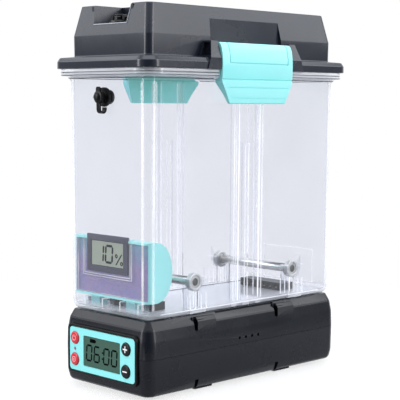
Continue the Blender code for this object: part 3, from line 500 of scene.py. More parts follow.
def make_upper_shell():
    outer = [(50.9, 68.0), (51.7, 67.75), (55.4, 61.5), (56.0, 60.0), (57.55, 51.9), (57.8, 50.4), (58.3, 35.8)]
    inner = [(56.1, 35.8), (55.5, 50.8), (53.2, 60.6), (50.6, 65.6)]
    shell = from_loops("dock_upper", [outline(half_w, half_w - 46.8 if half_w > 51.5 else 4.4, z)
                                      for half_w, z in outer + inner])
    backing, pockets, pads = [], [], []
    for middle in CLIP_Y:
        first, last = middle - CLIP_HALF_L, middle + CLIP_HALF_L
        backing.append(((50.4, first - 2.0, 51.5), (54.5, last, 66.6)))
        pockets.append(((52.4, first - 1.0, 55.0), (56.4, first + 10.0, 64.6)))
        pockets.append(((52.4, first - 1.0, 55.0), (60.0, first + 2.4, 70.0)))
        for side in (-1, 1):
            section = [(50.8, 51.6), (57.5, 51.6), (57.4, 63.0), (54.6, 66.4), (50.8, 66.4)]
            pads.append(prism("pad", [(side * x, z) for x, z in section], "Y", first + 1.0, last))
    lips = [((-25.5, y - 6.5, 67.0), (25.5, y + 6.5, 71.0)) for y in VALVE_Y]
    slots = [((-24.0, y - 5.0, 60.0), (24.0, y + 5.0, 80.0)) for y in VALVE_Y]
    add(shell, blocks("backing", both_sides(backing)), *pads, blocks("lips", lips))
    cut(shell, blocks("pockets", both_sides(pockets)), blocks("air_slots", slots))
    cut(shell, blocks("notch", both_sides([((50.4, -39.0, 66.6), (53.0, 39.0, 70.0))])), panel_cutter())
    for row in (-1.5, -0.5, 0.5, 1.5):
        cut(shell, turned("vent", [(1.4, -62.0), (1.4, 62.0)], "X", (row * 8.3, 41.2), steps=24))
    soften(shell, 0.35, 2, 8)
    finish_piece(shell, "dock", CHARCOAL, "dock_plastic", "dock_upper_shell")


make_lower_shell()
make_upper_shell()


# ---- the control panel ---------------------------------------------------------------------
BUTTONS = (("power_button", "power_key", -37.0, 43.6, 5.7), ("mode_button", "mode_key", -37.2, 24.0, 5.7),
           ("plus_button", "plus_key", 33.3, 43.2, 5.9), ("minus_button", "minus_key", 32.9, 23.5, 5.9))
LAMP_SPOT = (-37.1, 33.6)
MARK_DEPTH = 0.08
SEGMENTS = {"0": "abcdef", "1": "bc", "6": "acdefg"}


def segment_digit(x, z, height, width, thick, digit):
    """Flat bars of one seven-segment digit as (x, z) polygons; x, z is its lower left corner."""
    half, cell, gap = thick / 2, height / 2, 0.22
    lean = 0.06
    shapes = {"a": ((gap, height), (width - gap, height)), "g": ((gap, cell), (width - gap, cell)),
              "d": ((gap, 0.0), (width - gap, 0.0)), "f": ((0.0, cell + gap), (0.0, height - gap)),
              "b": ((width, cell + gap), (width, height - gap)), "e": ((0.0, gap), (0.0, cell - gap)),
              "c": ((width, gap), (width, cell - gap))}
    found = []
    for letter in SEGMENTS[digit]:
        (x0, z0), (x1, z1) = shapes[letter]
        points = [(x0, z0), (x0 + half, z0 + half)]
        if z0 == z1:
            points += [(x1 - half, z0 + half), (x1, z0), (x1 - half, z0 - half), (x0 + half, z0 - half)]
        else:
            points += [(x0 + half, z1 - half), (x0, z1), (x0 - half, z1 - half), (x0 - half, z0 + half)]
        found.append([(x + px + lean * pz, z + pz) for px, pz in points])
    return found


def flat_marks(name, polygons, y, thick, material, body):
    """Thin raised marks on a face that looks towards -Y, joined as one piece."""
    work = bmesh.new()
    for points in polygons:
        skin(work, [[(x, run, z) for x, z in points] for run in (y - thick, y + 0.05)])
    dress(from_work(name, work), body, material)


def bar(x0, z0, x1, z1):
    return [(x0, z0), (x1, z0), (x1, z1), (x0, z1)]


def ring_marks(x, z, inner, outer, start, stop, steps=20):
    """A ring or part of one as a row of four-sided pieces."""
    found = []
    for step in range(steps):
        low = math.radians(start + (stop - start) * step / steps)
        high = math.radians(start + (stop - start) * (step + 1) / steps)
        found.append([(x + r * math.cos(t), z + r * math.sin(t))
                      for r, t in ((inner, low), (outer, low), (outer, high), (inner, high))])
    return found


def make_panel():
    floor_y = PANEL_Y + 2.3
    edge = rounded(46.9, 22.1, 4.6, centre=(0.0, PANEL_Z), steps=10)
    bezel = prism("panel_frame", edge, "Y", PANEL_Y - 0.5, floor_y + 2.4)
    well = rounded(45.1, 20.3, 3.8, centre=(0.0, PANEL_Z), steps=10)
    cut(bezel, prism("well", well, "Y", CUT_Y[0], floor_y))
    edge = rounded(44.5, 19.65, 3.4, centre=(0.0, PANEL_Z - 0.05), steps=10)
    plate = prism("panel_plate", edge, "Y", PANEL_Y, floor_y - GAP)
    cut(plate, prism("screen_hole", rounded(25.2, 13.9, 1.0, centre=(0.0, 33.4)), "Y", *CUT_Y))
    cut(plate, turned("lamp_hole", [(1.5, y) for y in CUT_Y], "Y", LAMP_SPOT, steps=32))
    for _, _, x, z, radius in BUTTONS:
        cut(plate, turned("hole", [(radius + GAP, y) for y in CUT_Y], "Y", (x, z), steps=48))
        cut(bezel, turned("hole", [(2.3, -128.0), (2.3, -118.0)], "Y", (x, z), steps=24))
    finish_piece(soften(bezel, 0.4, 3), "dock", BLACK, "black_plastic", "panel_bezel")
    finish_piece(soften(plate, 0.3, 3), "dock", TEAL, "teal_plastic", "control_panel")
    edge = rounded(24.9, 13.6, 0.8, centre=(0.0, 33.4))
    screen = prism("dock_screen", edge, "Y", PANEL_Y + 0.5, floor_y - GAP)
    finish_piece(soften(screen, 0.15), "dock", LCD_DOCK, "display", "dock_display")
    profile = [(0.6, PANEL_Y - 0.2), (1.0, PANEL_Y - 0.05), (1.2, PANEL_Y + 0.4), (1.2, floor_y - GAP)]
    lamp = turned("lamp_lens", profile, "Y", LAMP_SPOT, steps=32)
    look = plastic("lamp_look", (190, 70, 120), 0.2, coat=0.5)
    finish_piece(smooth(lamp, 40), "dock", look, "lamp", "status_lamp")

    for name, body, x, z, radius in BUTTONS:
        front = PANEL_Y - 1.3
        profile = [(0.4, front - 0.05)]
        for step in range(1, 7):
            turn = math.radians(15 * step)
            profile.append((radius - 1.6 + 1.6 * math.sin(turn), front + 1.1 - 1.1 * math.cos(turn)))
        profile += [(radius, floor_y - 1.0), (1.9, floor_y - 1.0), (1.9, -119.2)]
        cap = turned(name + "_cap", profile, "Y", (x, z))
        look, slot = (RED, "red_plastic") if x < 0 else (BLACK, "black_plastic")
        finish_piece(smooth(cap, 50), body, look, slot, name)
    top = PANEL_Y - 1.35
    x, z = BUTTONS[2][2:4]
    plus = [bar(x - 2.9, z - 0.55, x + 2.9, z + 0.55), bar(x - 0.55, z + 0.55, x + 0.55, z + 2.9),
            bar(x - 0.55, z - 2.9, x + 0.55, z - 0.55)]
    flat_marks("plus_mark", plus, top, MARK_DEPTH, WHITE_INK, "plus_key")
    x, z = BUTTONS[3][2:4]
    minus = [bar(x - 2.9, z - 0.55, x + 2.9, z + 0.55)]
    flat_marks("minus_mark", minus, top, MARK_DEPTH, WHITE_INK, "minus_key")
    pink = plastic("pale_mark_look", (245, 170, 176), 0.4, grain_depth=0.0)
    x, z = BUTTONS[0][2:4]
    power = ring_marks(x, z, 1.9, 2.6, 125, 415) + [bar(x - 0.35, z + 0.6, x + 0.35, z + 3.0)]
    flat_marks("power_mark", power, top, MARK_DEPTH, pink, "power_key")
    x, z = BUTTONS[1][2:4]
    mode = ring_marks(x, z, 1.9, 2.6, 0, 360) + ring_marks(x, z, 0.0001, 0.8, 0, 360, 12)
    flat_marks("mode_mark", mode, top, MARK_DEPTH, pink, "mode_key")

    digits = []
    start, pitch, low = -21.5, 10.6, 25.4
    for index, digit in enumerate("0600"):
        left = start + index * pitch + (2.6 if index > 1 else 0.0)
        digits += segment_digit(left, low, 13.8, 7.0, 1.7, digit)
    middle = start + 2 * pitch + 0.2
    digits += [bar(middle, low + 3.4, middle + 1.5, low + 4.9),
               bar(middle + 0.4, low + 8.8, middle + 1.9, low + 10.3),
               bar(-16.5, 42.0, -9.0, 45.4), bar(-9.0, 42.9, -8.0, 44.5)]
    flat_marks("dock_digits", digits, PANEL_Y + 0.5, 0.05, INK, "dock")


make_panel()

# ---- the box -------------------------------------------------------------------------------
BOX_FOOT, BOX_TOP_W, BOX_WALL, BOX_CORNER = 54.5, 55.7, 2.6, 10.0
BOX_LOW, BOX_HIGH = 68.3, 292.0
ROLLER_Y, ROLLER_Z = (-62.0, 69.0), 97.2
OUTLET_Z = 261.0


def box_half_width(z):
    """Half the box's width; the walls draw in slightly towards the floor."""
    return BOX_FOOT + (z - BOX_LOW) / (BOX_HIGH - BOX_LOW) * (BOX_TOP_W - BOX_FOOT)


def box_levels():
    """Half width and height of each loop: up the outside, over the rim, and down the inside."""
    levels = []
    fillet = 8.5
    for step in range(9):
        turn = math.radians(11.25 * step)
        levels.append((BOX_FOOT - fillet + fillet * math.sin(turn), BOX_LOW + fillet - fillet * math.cos(turn)))
    low, high, rim = 279.5, 285.8, 64.3
    mouth = BOX_TOP_W - BOX_WALL
    levels += [(box_half_width(low) - 0.05, low - 6.0), (55.9, low - 4.2), (56.7, low - 2.4),
               (58.0, low - 0.9), (60.0, low), (rim - 0.8, low), (rim - 0.2, low + 0.2), (rim, low + 0.8),
               (rim, low + 2.4), (rim - 0.5, low + 2.8), (rim - 0.5, low + 3.2), (rim, low + 3.6),
               (rim, high - 0.7), (rim - 0.2, high - 0.2), (rim - 0.8, high), (BOX_TOP_W, high),
               (BOX_TOP_W, BOX_HIGH - 0.4), (BOX_TOP_W - 0.4, BOX_HIGH), (mouth + 0.4, BOX_HIGH),
               (mouth, BOX_HIGH - 0.4)]
    inner = BOX_FOOT - BOX_WALL + 0.1
    for step in range(7):
        turn = math.radians(15 * step)
        levels.append((inner - 6.0 + 6.0 * math.cos(turn), 77.3 - 6.0 * math.sin(turn)))
    return levels


def make_box():
    loops = [outline(half_w, max(BOX_CORNER + half_w - BOX_FOOT, 1.6), z) for half_w, z in box_levels()]
    shell = from_loops("clear_box", loops)
    extra, hollows = [], []
    for y in ROLLER_Y:
        extra.append(((43.8, y - 10.0, 70.0), (53.7, y + 10.0, 101.0)))
        hollows.append(((45.2, y - 8.3, ROLLER_Z), (53.0, y + 8.3, 110.0)))
        hollows.append(((40.0, y - 4.3, ROLLER_Z), (46.0, y + 4.3, 110.0)))
    for side in (-1, 1):
        near, far = sorted((side * 13.0, side * 19.5))
        extra.append(((50.9, near, 70.5), (53.6, far, 278.0)))
    extra.append(((50.5, -4.5, 70.5), (53.6, 4.5, 220.0)))
    add(shell, blocks("ribs", both_sides(extra)))
    add(shell, prism("pad", rounded(33.0, 16.5, 4.0, centre=(0.0, 93.5)), "Y", 119.3, 122.2))
    sockets, pockets = [], []
    for x in (-24.0, 24.0):
        sockets.append(((x - 12.0, -118.0, 70.0), (x + 12.0, -104.8, 81.0)))
        pockets.append(((x - 9.8, -116.3, 72.0), (x + 9.8, -106.7, 90.0)))
    add(shell, blocks("sockets", sockets))
    cut(shell, blocks("hollows", both_sides(hollows)), blocks("pockets", pockets))
    for y in ROLLER_Y:
        for side in (-1, 1):
            near, far = sorted((side * 45.2, side * 53.0))
            cut(shell, turned("seat", [(8.3, near), (8.3, far)], "X", (y, ROLLER_Z), steps=48))
        cut(shell, turned("bore", [(4.3, -46.0), (4.3, 46.0)], "X", (y, ROLLER_Z), steps=32))
    cut(shell, blocks("air", [((-26.5, y - 7.5, 60.0), (26.5, y + 7.5, 76.0)) for y in VALVE_Y]))
    cut(shell, turned("outlet", [(4.6, -130.0), (4.6, -118.0)], "Y", (0.0, OUTLET_Z), steps=32))
    cut(shell, blocks("notches", both_sides([((57.4, -47.6, 273.0), (70.0, 47.6, 287.0))])))
    soften(shell, 0.35)
    finish_piece(shell, "box", CLEAR, "clear_plastic", "box_shell")


make_box()


def box_corner_line(side_x, side_y, turn, z):
    """A point on one of the box's rounded upright corners."""
    half_w = box_half_width(z)
    radius = BOX_CORNER + half_w - BOX_FOOT
    away = math.radians(turn)
    return (side_x * (half_w - radius + radius * math.cos(away)),
            side_y * (half_w + LONGER - radius + radius * math.sin(away)), z)


def wall_line(side_x, y, top):
    """An upright line on the outside of a side wall."""
    return tuple((side_x * (box_half_width(z) + 0.05), y, z) for z in (76.0, top))


def make_box_edges():
    """Painted highlight lines and painted shade lines along the edges of the clear moulding."""
    sharp, soft, wide, dark = [], [], [], []
    for side_x in (-1, 1):
        for side_y in (-1, 1):
            for turn in (18.0, 72.0):
                wide.append([box_corner_line(side_x, side_y, turn, z) for z in (78.0, 275.0)])
        sharp += [wall_line(side_x, y, 275.0) for y in (-12.5, 15.0)]
        soft.append(wall_line(side_x, 0.4, 220.0))
        soft += [wall_line(side_x, y, 275.0) for y in (-18.5, 18.8)]
        sharp.append(((side_x * 49.6, -104.0, 72.2), (side_x * 49.6, 108.0, 72.2)))
        dark.append(((side_x * 47.4, -104.0, 71.7), (side_x * 47.4, 108.0, 71.7)))
        for y in (-11.0, 12.6, 18.6):
            soft.append(((side_x * 50.7, y, 78.0), (side_x * 50.7, y, 276.0)))
        soft.append(((side_x * 50.3, 1.2, 78.0), (side_x * 50.3, 1.2, 219.0)))
        for y in ROLLER_Y:
            for spot in (-9.8, -3.6, 3.6, 9.8):
                sharp.append(((side_x * 43.6, y + spot, 73.0), (side_x * 43.6, y + spot, 88.0)))
                soft.append(((side_x * 53.9, y + spot, 73.0), (side_x * 53.9, y + spot, 88.0)))
            for side_y in (-1, 1):
                top_y, foot_y = y + side_y * 9.8, y + side_y * 9.0
                sharp.append(((side_x * 43.6, top_y, 100.8), (side_x * 53.6, top_y, 100.8)))
                dark.append(((side_x * 43.5, foot_y, 73.0), (side_x * 43.5, foot_y, 92.0)))
    corners = [(x, 119.2, z) for x, z in ((-32.6, 77.2), (32.6, 77.2), (32.6, 109.8), (-32.6, 109.8))]
    sharp += list(zip(corners, corners[1:] + corners[:1]))
    for x in (-36.0, -12.0, 12.0, 36.0):
        sharp.append(((x, -117.9, 80.9), (x, -104.9, 80.9)))
        sharp.append(((x, -117.9, 72.0), (x, -117.9, 80.9)))
    # painted highlights and painted shade, drawn as slim bars on the box
    trim(bars("box_painted_highlights", sharp, 0.75), "box", GLINT_LINES)
    trim(bars("box_soft_painted_highlights", soft, 1.0), "box", SOFT_GLINT_LINES)
    trim(bars("box_corner_painted_highlights", wide, 1.6), "box", SOFT_GLINT_LINES)
    trim(bars("box_painted_shade_lines", dark, 0.6), "box", SHADE)

    # painted shade: dark rings along the steps of the rim
    rings = []
    for half_w, low, high in ((64.2, 282.7, 283.3), (64.2, 280.1, 280.8), (57.5, 277.5, 278.2)):
        inner, outer = half_w - 0.3, half_w + 0.2
        levels = [(outer, low), (outer, high), (inner, high), (inner, low)]
        loops = [outline(reach, BOX_CORNER + reach - BOX_FOOT, z) for reach, z in levels]
        rings.append(from_loops("rim_line", loops, ring=True))
    for number, ring in enumerate(rings):
        cut(ring, blocks("notches", both_sides([((50.0, -47.8, 273.0), (70.0, 47.8, 287.0))])))
        ring.name = f"rim_shade_{number + 1}"
        trim(ring, "box", SHADE)


make_box_edges()


def roller_parts():
    for place_name, y in zip(("front", "rear"), ROLLER_Y):
        spot, body = (y, ROLLER_Z), place_name + "_roller"
        half = [(3.0, 49.7), (3.5, 49.2), (3.5, 43.2), (3.9, 43.2), (4.2, 42.9)]
        profile = [(radius, -run) for radius, run in half] + half[::-1]
        shaft = turned(place_name + "_rod", profile, "X", spot, steps=48)
        finish_piece(smooth(shaft, 50), body, STEEL, "steel", place_name + "_shaft")
        for side_name, side in (("left", -1), ("right", 1)):
            near, far, lip = side * 45.5, side * 50.5, side * 0.5
            label = f"{place_name}_{side_name}"
            outer = [(5.6, near + lip * 0.8), (6.0, near), (7.6, near), (8.0, near + lip * 0.8),
                     (8.0, far - lip * 0.8), (7.6, far), (6.0, far), (5.6, far - lip * 0.8)]
            made = turned(label + "_race", outer, "X", spot, ring=True)
            finish_piece(smooth(made, 50), "box", RACE, "steel", label + "_bearing_outer")
            inner = [(3.7, near + lip), (4.4, near + lip), (4.5, near + 2 * lip), (5.2, near + 2 * lip),
                     (5.2, far - 2 * lip), (4.5, far - 2 * lip), (4.4, far - lip), (3.7, far - lip)]
            made = turned(label + "_seal", inner, "X", spot, ring=True)
            finish_piece(smooth(made, 50), body, RACE, "steel", label + "_bearing_inner")
            tip = [(3.3, side * 49.6), (3.3, side * 49.85), (2.9, side * 50.1)]
            made = turned(label + "_shaft_end", tip, "X", spot, steps=48)
            finish_piece(smooth(made, 50), body, DARK_STEEL, "steel")


roller_parts()


def outlet(name, axis, run, centre, way, thread, body, cad):
    """A filament outlet: a collar and tube that stand out of a wall, and a threaded stem through it."""
    profile = [(2.3, 6.4), (2.7, 6.8), (4.4, 6.8), (5.0, 6.2), (5.0, 3.4), (5.4, 3.0), (8.0, 3.0), (8.5, 2.4),
               (8.5, GAP), (4.2, GAP), (4.2, -thread), (2.3, -thread)]
    profile = [(radius, run + way * height) for radius, height in profile]
    finish_piece(smooth(turned(name, profile, axis, centre, ring=True), 40), body, BLACK, "black_plastic", cad)


WALL_Y = box_half_width(OUTLET_Z) + LONGER
outlet("front_fitting", "Y", -WALL_Y, (0.0, OUTLET_Z), -1, 6.2, "box", "front_outlet")
nut_profile = [(4.5, 3.2), (6.4, 3.2), (6.4, 5.2), (5.9, 5.8), (4.5, 5.8)]
nut_profile = [(radius, y - WALL_Y) for radius, y in nut_profile]
nut = turned("front_nut", nut_profile, "Y", (0.0, OUTLET_Z), ring=True, steps=12)
finish_piece(soften(nut, 0.2), "box", BLACK, "black_plastic", "front_outlet_nut")


def make_front_plug():
    head = -WALL_Y - 7.1
    profile = [(1.6, 9.0), (2.0, 8.0), (2.0, 0.0), (5.2, 0.0), (5.6, -0.4), (5.6, -1.4), (5.2, -1.8),
               (3.6, -2.2), (3.4, -3.4), (2.9, -4.1), (2.2, -4.4)]
    profile = [(radius, head + y) for radius, y in profile]
    plug = turned("front_stopper", profile, "Y", (0.0, OUTLET_Z), steps=48)
    add(plug, prism("ear", rounded(2.7, 6.0, 2.0, centre=(0.0, OUTLET_Z + 3.0)), "Y", head - 1.5, head - 0.1))
    hang = OUTLET_Z - 10.6
    rows = []
    for radius, start, stop in ((3.9, 180, 360), (2.5, 360, 180)):
        turns = [math.radians(start + (stop - start) * step / 16) for step in range(17)]
        rows.append([(head + 2.9 + radius * math.cos(turn), hang + radius * math.sin(turn)) for turn in turns])
    strap = [(head - 1.2, OUTLET_Z - 4.5), *rows[0], (head + 6.8, hang + 1.7), (head + 5.4, hang + 1.7),
             *rows[1], (head - 0.2, OUTLET_Z - 4.5)]
    add(plug, prism("strap", strap, "X", -2.4, 2.4))
    finish_piece(soften(plug, 0.25), "outlet_plug", RUBBER, "rubber", "front_plug")


make_front_plug()

# ---- the cartridge -------------------------------------------------------------------------
CART_W, CART_FRONT, CART_BACK, CART_WALL = 51.0, -119.6, -91.0, 2.0
GAUGE_X, GAUGE_Z, GAUGE_Y = (-30.8, 24.8), (105.5, 139.0), (-120.4, -107.0)
GAUGE_LIP_Y, GAUGE_BODY_Z = -117.9, (107.5, 133.4)


def cartridge_side(inset, steps=24):
    front, back, low, high = CART_FRONT, CART_BACK - inset, 83.0 + inset, 136.0 - inset
    middle, half, start = (low + high) / 2, (high - low) / 2, -110.0
    points = [(front, low), (start, low)]
    for step in range(1, steps):
        turn = math.radians(-90 + 180 * step / steps)
        points.append((start + (back - start) * math.cos(turn), middle + half * math.sin(turn)))
    return points + [(start, high), (front, high)]


def window_frame(left, right, y, low, high=133.4):
    """The two uprights and the lower bar of a frame around the window or the gauge, as lines for painted
    highlights.
    """
    return [((left, y, low), (left, y, high)), ((right, y, low), (right, y, high)),
            ((left, y, low), (right, y, low))]


def make_cartridge():
    left, right = GAUGE_X
    body_low, body_high = GAUGE_BODY_Z
    room = [((left - GAP, -130.0, GAUGE_Z[0] - GAP), (right + GAP, GAUGE_LIP_Y + GAP, 150.0)),
            ((left + 2.0 - GAP, -130.0, body_low - GAP),
             (right - 2.0 + GAP, GAUGE_Y[1] + GAP, body_high + GAP))]
    shell = prism("cartridge_case", cartridge_side(0.0), "X", -CART_W, CART_W)
    hollow = [(CART_FRONT - 5.0 if y == CART_FRONT else y, z) for y, z in cartridge_side(CART_WALL)]
    cut(shell, prism("hollow", hollow, "X", -CART_W + CART_WALL, CART_W - CART_WALL))
    plan = rounded(CART_W, 30.0, 6.0, centre=(0.0, CART_FRONT + 30.0))
    combine(shell, prism("plan", plan, "Z", 60.0, 150.0), "INTERSECT")
    add(shell, blocks("feet", [((x - 6.0, -116.0, 72.3), (x + 6.0, -107.0, 84.0)) for x in (-24.0, 24.0)]))
    cut(shell, blocks("gauge_room", room))
    finish_piece(soften(shell, 0.4), "cartridge", BRIGHTENED_CARTRIDGE_TEAL, "teal_plastic", "cartridge_shell")

    edge = CART_W - CART_WALL - GAP
    window = blocks("cartridge_pane", [((-edge, CART_FRONT, 85.3), (edge, CART_FRONT + 1.6, 133.7))])
    combine(window, prism("plan", plan, "Z", 60.0, 150.0), "INTERSECT")
    frame_lines = []
    for reach in (3.2, 5.2):
        frame_lines += window_frame(left - reach, right + reach, CART_FRONT - 0.5, 106.6 - reach)
    frame_lines += window_frame(7.0 - CART_W, CART_W - 7.0, CART_FRONT - 0.1, 86.0)
    # painted highlights along the window and gauge frames
    trim(bars("window_painted_highlights", frame_lines, 0.7), "cartridge", SOFT_GLINT_LINES)
    rails = [((left - 5.0, CART_FRONT - 0.6, 99.0), (left - 3.0, CART_FRONT + 0.5, 133.5)),
             ((right + 3.0, CART_FRONT - 0.6, 99.0), (right + 5.0, CART_FRONT + 0.5, 133.5)),
             ((left - 5.0, CART_FRONT - 0.6, 97.6), (right + 5.0, CART_FRONT + 0.5, 99.6))]
    add(window, blocks("rails", rails))
    cut(window, blocks("gauge_room", room))
    finish_piece(soften(window, 0.2), "cartridge", WINDOW, "clear_plastic", "cartridge_window")

    inside = [(max(y, CART_FRONT + 1.9), z) for y, z in cartridge_side(CART_WALL + GAP)]
    fill = prism("desiccant_bed", inside, "X", -edge, edge)
    wider = [((low[0] - GAP, low[1], low[2] - GAP), (high[0] + GAP, high[1] + GAP, high[2] + 10.0))
             for low, high in room]
    cut(fill, blocks("gauge_room", wider))
    finish_piece(smooth(fill), "cartridge", BEADS, "desiccant", "desiccant_fill")

    body = ((left + 2.0, GAUGE_LIP_Y - 1.0, body_low), (right - 2.0, GAUGE_Y[1], body_high))
    gauge = blocks("gauge_body", [body])
    add(gauge, blocks("lip", [((left, GAUGE_Y[0], GAUGE_Z[0]), (right, GAUGE_LIP_Y, GAUGE_Z[1]))]))
    cut(gauge, blocks("seat", [((-24.4, -125.0, 111.0), (18.9, GAUGE_Y[0] + 1.6, 133.3))]))
    cut(gauge, blocks("cell_seat", [((-10.0, GAUGE_Y[1] - 4.0, 110.5), (10.0, -100.0, 130.5))]))
    finish_piece(soften(gauge, 0.6, 3), "cartridge", GAUGE_GREY, "gauge_plastic", "gauge_case")
    screen = blocks("gauge_pane", [((-24.1, GAUGE_Y[0] + 0.4, 111.3), (18.6, GAUGE_Y[0] + 1.3, 133.0))])
    finish_piece(soften(screen, 0.15), "cartridge", LCD_GAUGE, "display", "gauge_screen")
    digits = []
    for start, digit in ((-17.6, "1"), (-5.3, "0")):
        digits += segment_digit(start, 114.8, 14.8, 9.0, 2.1, digit)
    digits += ring_marks(9.6, 121.4, 0.7, 1.9, 0, 360, 12) + ring_marks(16.6, 115.2, 0.7, 1.9, 0, 360, 12)
    digits += [[(8.2, 113.4), (9.8, 113.4), (17.6, 123.4), (16.0, 123.4)]]
    flat_marks("gauge_digits", digits, GAUGE_Y[0] + 0.4, 0.05, GAUGE_INK, "cartridge")


make_cartridge()

# ---- the lid -------------------------------------------------------------------------------
POCKET_HALF_L, POCKET_X = 47.3, 48.8
GRIP_FLOOR, GRIP_BACK = 325.0, -83.0
PIVOT = (58.5, 303.0)
TOP_SPOT = (0.0, -108.0)


def lug(side_x, side_y):
    """One of the four ears that carry the latch pins, standing on the lid's flange."""
    section = [(57.6, 286.1), (66.3, 286.1), (66.3, 296.0), (61.5, 311.0), (50.0, 311.0), (50.0, 295.4),
               (57.6, 295.4)]
    inner = [(side_x * x, side_y * POCKET_HALF_L, z) for x, z in section]
    outer = [(side_x * x, side_y * (55.6 + 0.3 * (311.0 - z)), z) for x, z in section]
    return from_loops("lug", [inner, outer])


def make_lid():
    # half width, height and corner radius: down the outside, then up the inside
    levels = [(45.8, 342.0, 5.0), (46.4, 341.85, 5.6), (46.8, 341.3, 6.0), (51.8, 315.9, 6.0),
              (51.9, 315.0, 6.0), (51.7, 297.8, 6.0), (51.9, 297.2, 6.2), (62.4, 295.95, 11.8),
              (63.0, 295.6, 12.3), (63.2, 295.2, 12.4), (64.8, 292.7, 13.9), (65.0, 292.0, 14.0),
              (65.0, 286.6, 14.0), (64.5, 286.1, 13.5), (56.2, 286.1, 11.0), (56.2, 293.6, 11.0),
              (52.5, 293.6, 7.3), (52.5, 286.1, 7.3), (49.2, 286.1, 4.6), (49.4, 297.2, 4.0),
              (49.6, 315.4, 4.0), (44.9, 339.7, 4.0)]
    shell = from_loops("lid_case", [outline(half_w, radius, z) for half_w, z, radius in levels])
    add(shell, blocks("backing", [((-27.5, -116.5, GRIP_FLOOR - 2.4), (27.5, GRIP_BACK + 2.3, 341.0))]))
    backing = [(POCKET_X - 2.3, 296.0), (50.0, 296.0), (50.0, 317.0), (47.9, 331.8), (POCKET_X - 2.3, 331.8)]
    for side_x in (-1, 1):
        add(shell, prism("backing", [(side_x * x, z) for x, z in backing], "Y", -49.6, 49.6))
    for side_x in (-1, 1):
        for side_y in (-1, 1):
            add(shell, lug(side_x, side_y))
    mouth = [(-POCKET_HALF_L, 297.6), (POCKET_HALF_L, 297.6), (POCKET_HALF_L, 311.0), (45.0, 333.0),
             (-45.0, 333.0), (-POCKET_HALF_L, 311.0)]
    for side_x in (-1, 1):
        cut(shell, prism("latch_pocket", mouth, "X", *sorted((side_x * POCKET_X, side_x * 75.0))))
    reach = both_sides([((61.5, -POCKET_HALF_L, 280.0), (75.0, POCKET_HALF_L, 300.0))])
    cut(shell, blocks("latch_reach", reach))
    grip = [(-22.4, GRIP_FLOOR), (22.4, GRIP_FLOOR), (25.6, 346.0), (-25.6, 346.0)]
    cut(shell, prism("grip", grip, "Y", -135.0, GRIP_BACK))
    for side in (-1, 1):
        for side_x in (-1, 1):
            spot = (side_x * PIVOT[0], PIVOT[1])
            cut(shell, turned("pin_hole", [(1.8, side * 40.0), (1.8, side * 51.8)], "Y", spot, steps=24))
            core = [(side_x * x, z) for x, z in ((53.2, 298.1), (64.6, 298.1), (60.4, 309.5), (53.2, 309.5))]
            cut(shell, prism("lug_core", core, "Y", *sorted((side * 53.4, side * 70.0))))
    cut(shell, turned("top_hole", [(4.6, 315.0), (4.6, 330.0)], "Z", TOP_SPOT, steps=32))
    soften(shell, 0.5, 3, 9)
    finish_piece(shell, "lid", LID_GREY, "lid_plastic", "lid_shell")


make_lid()


def make_grip_lip():
    """A narrow pale bar along the finger recess: a painted highlight where the chamfer would catch the light.
    """
    foot = (22.2, -119.0, GRIP_FLOOR)
    segments = [((-22.2, *foot[1:]), foot), (foot, (24.9, -115.8, 341.4))]
    trim(bars("grip_painted_highlight", segments, 0.9), "lid", LIP)


make_grip_lip()


def make_latches():
    section = [(55.0, 302.4), (55.6, 305.8), (57.4, 308.6), (59.8, 310.0), (62.2, 309.9), (64.2, 308.2),
               (66.1, 303.6), (67.1, 297.0), (67.4, 290.0), (67.2, 283.0), (66.9, 277.9), (66.1, 277.5),
               (66.1, 276.6), (66.9, 276.1), (67.0, 266.0), (66.6, 256.4), (65.9, 255.6), (64.5, 255.6),
               (63.8, 256.4), (62.0, 264.5), (58.4, 273.5), (57.9, 275.5), (57.9, 277.6), (61.8, 278.2),
               (63.8, 280.5), (64.4, 290.0), (64.0, 297.0), (62.6, 299.6), (60.0, 299.2), (57.0, 299.3)]
    for name, side in (("left", -1), ("right", 1)):
        latch = prism(name + "_clasp", [(side * x, z) for x, z in section], "Y", -46.4, 46.4)
        cut(latch, turned("bore", [(1.8, -60.0), (1.8, 60.0)], "Y", (side * PIVOT[0], PIVOT[1]), steps=24))
        for end in (-1, 1):
            corner = [(46.6, 275.0), (56.0, 275.0), (56.0, 250.0), (35.2, 250.0), (36.4, 255.6)]
            corner = [(end * y, z) for y, z in corner]
            cut(latch, prism("taper", corner, "X", *sorted((side * 50.0, side * 75.0))))
        for groove_z, start, stop in ((291.8, -37.0, 40.0), (270.0, -38.5, 40.5), (260.4, -34.0, 36.0)):
            low, high = sorted((side * 66.45, side * 70.0))
            cut(latch, blocks("groove", [((low, start, groove_z - 0.45), (high, stop, groove_z + 0.45))]))
        face = [(66.45, 291.8), (66.45, 297.0), (65.5, 303.4), (63.7, 307.7), (62.0, 309.2), (62.0, 312.0),
                (70.0, 312.0), (70.0, 291.8)]
        for y in (-37.0, 40.0):
            cut(latch, prism("groove", [(side * x, z) for x, z in face], "Y", y - 0.4, y + 0.4))
        look = clasp_look(name + "_clasp_look", side)
        finish_piece(soften(latch, 0.4, 3), "latch_" + name, look, "teal_plastic", name + "_latch")


make_latches()
outlet("top_fitting", "Z", GRIP_FLOOR, TOP_SPOT, 1, 5.0, "lid", "top_outlet")


def make_top_plug():
    head = GRIP_FLOOR + 7.1
    profile = [(1.6, -9.0), (2.0, -8.0), (2.0, 0.0), (4.2, 0.0), (4.2, 1.0), (3.2, 1.6)]
    profile = [(radius, head + z) for radius, z in profile]
    plug = turned("top_stopper", profile, "Z", TOP_SPOT, steps=48)
    half_wing = [(5.0, 1.4), (8.6, 0.8), (9.6, -1.2), (8.8, -3.6), (6.4, -3.6), (5.8, 0.2)]
    half_wing = [(x, head + z) for x, z in half_wing]
    wings = half_wing + [(-x, z) for x, z in reversed(half_wing)]
    add(plug, prism("wings", wings, "Y", -110.2, -105.8))
    finish_piece(soften(plug, 0.4, 3), "lid_plug", RUBBER, "rubber", "top_plug")


make_top_plug()

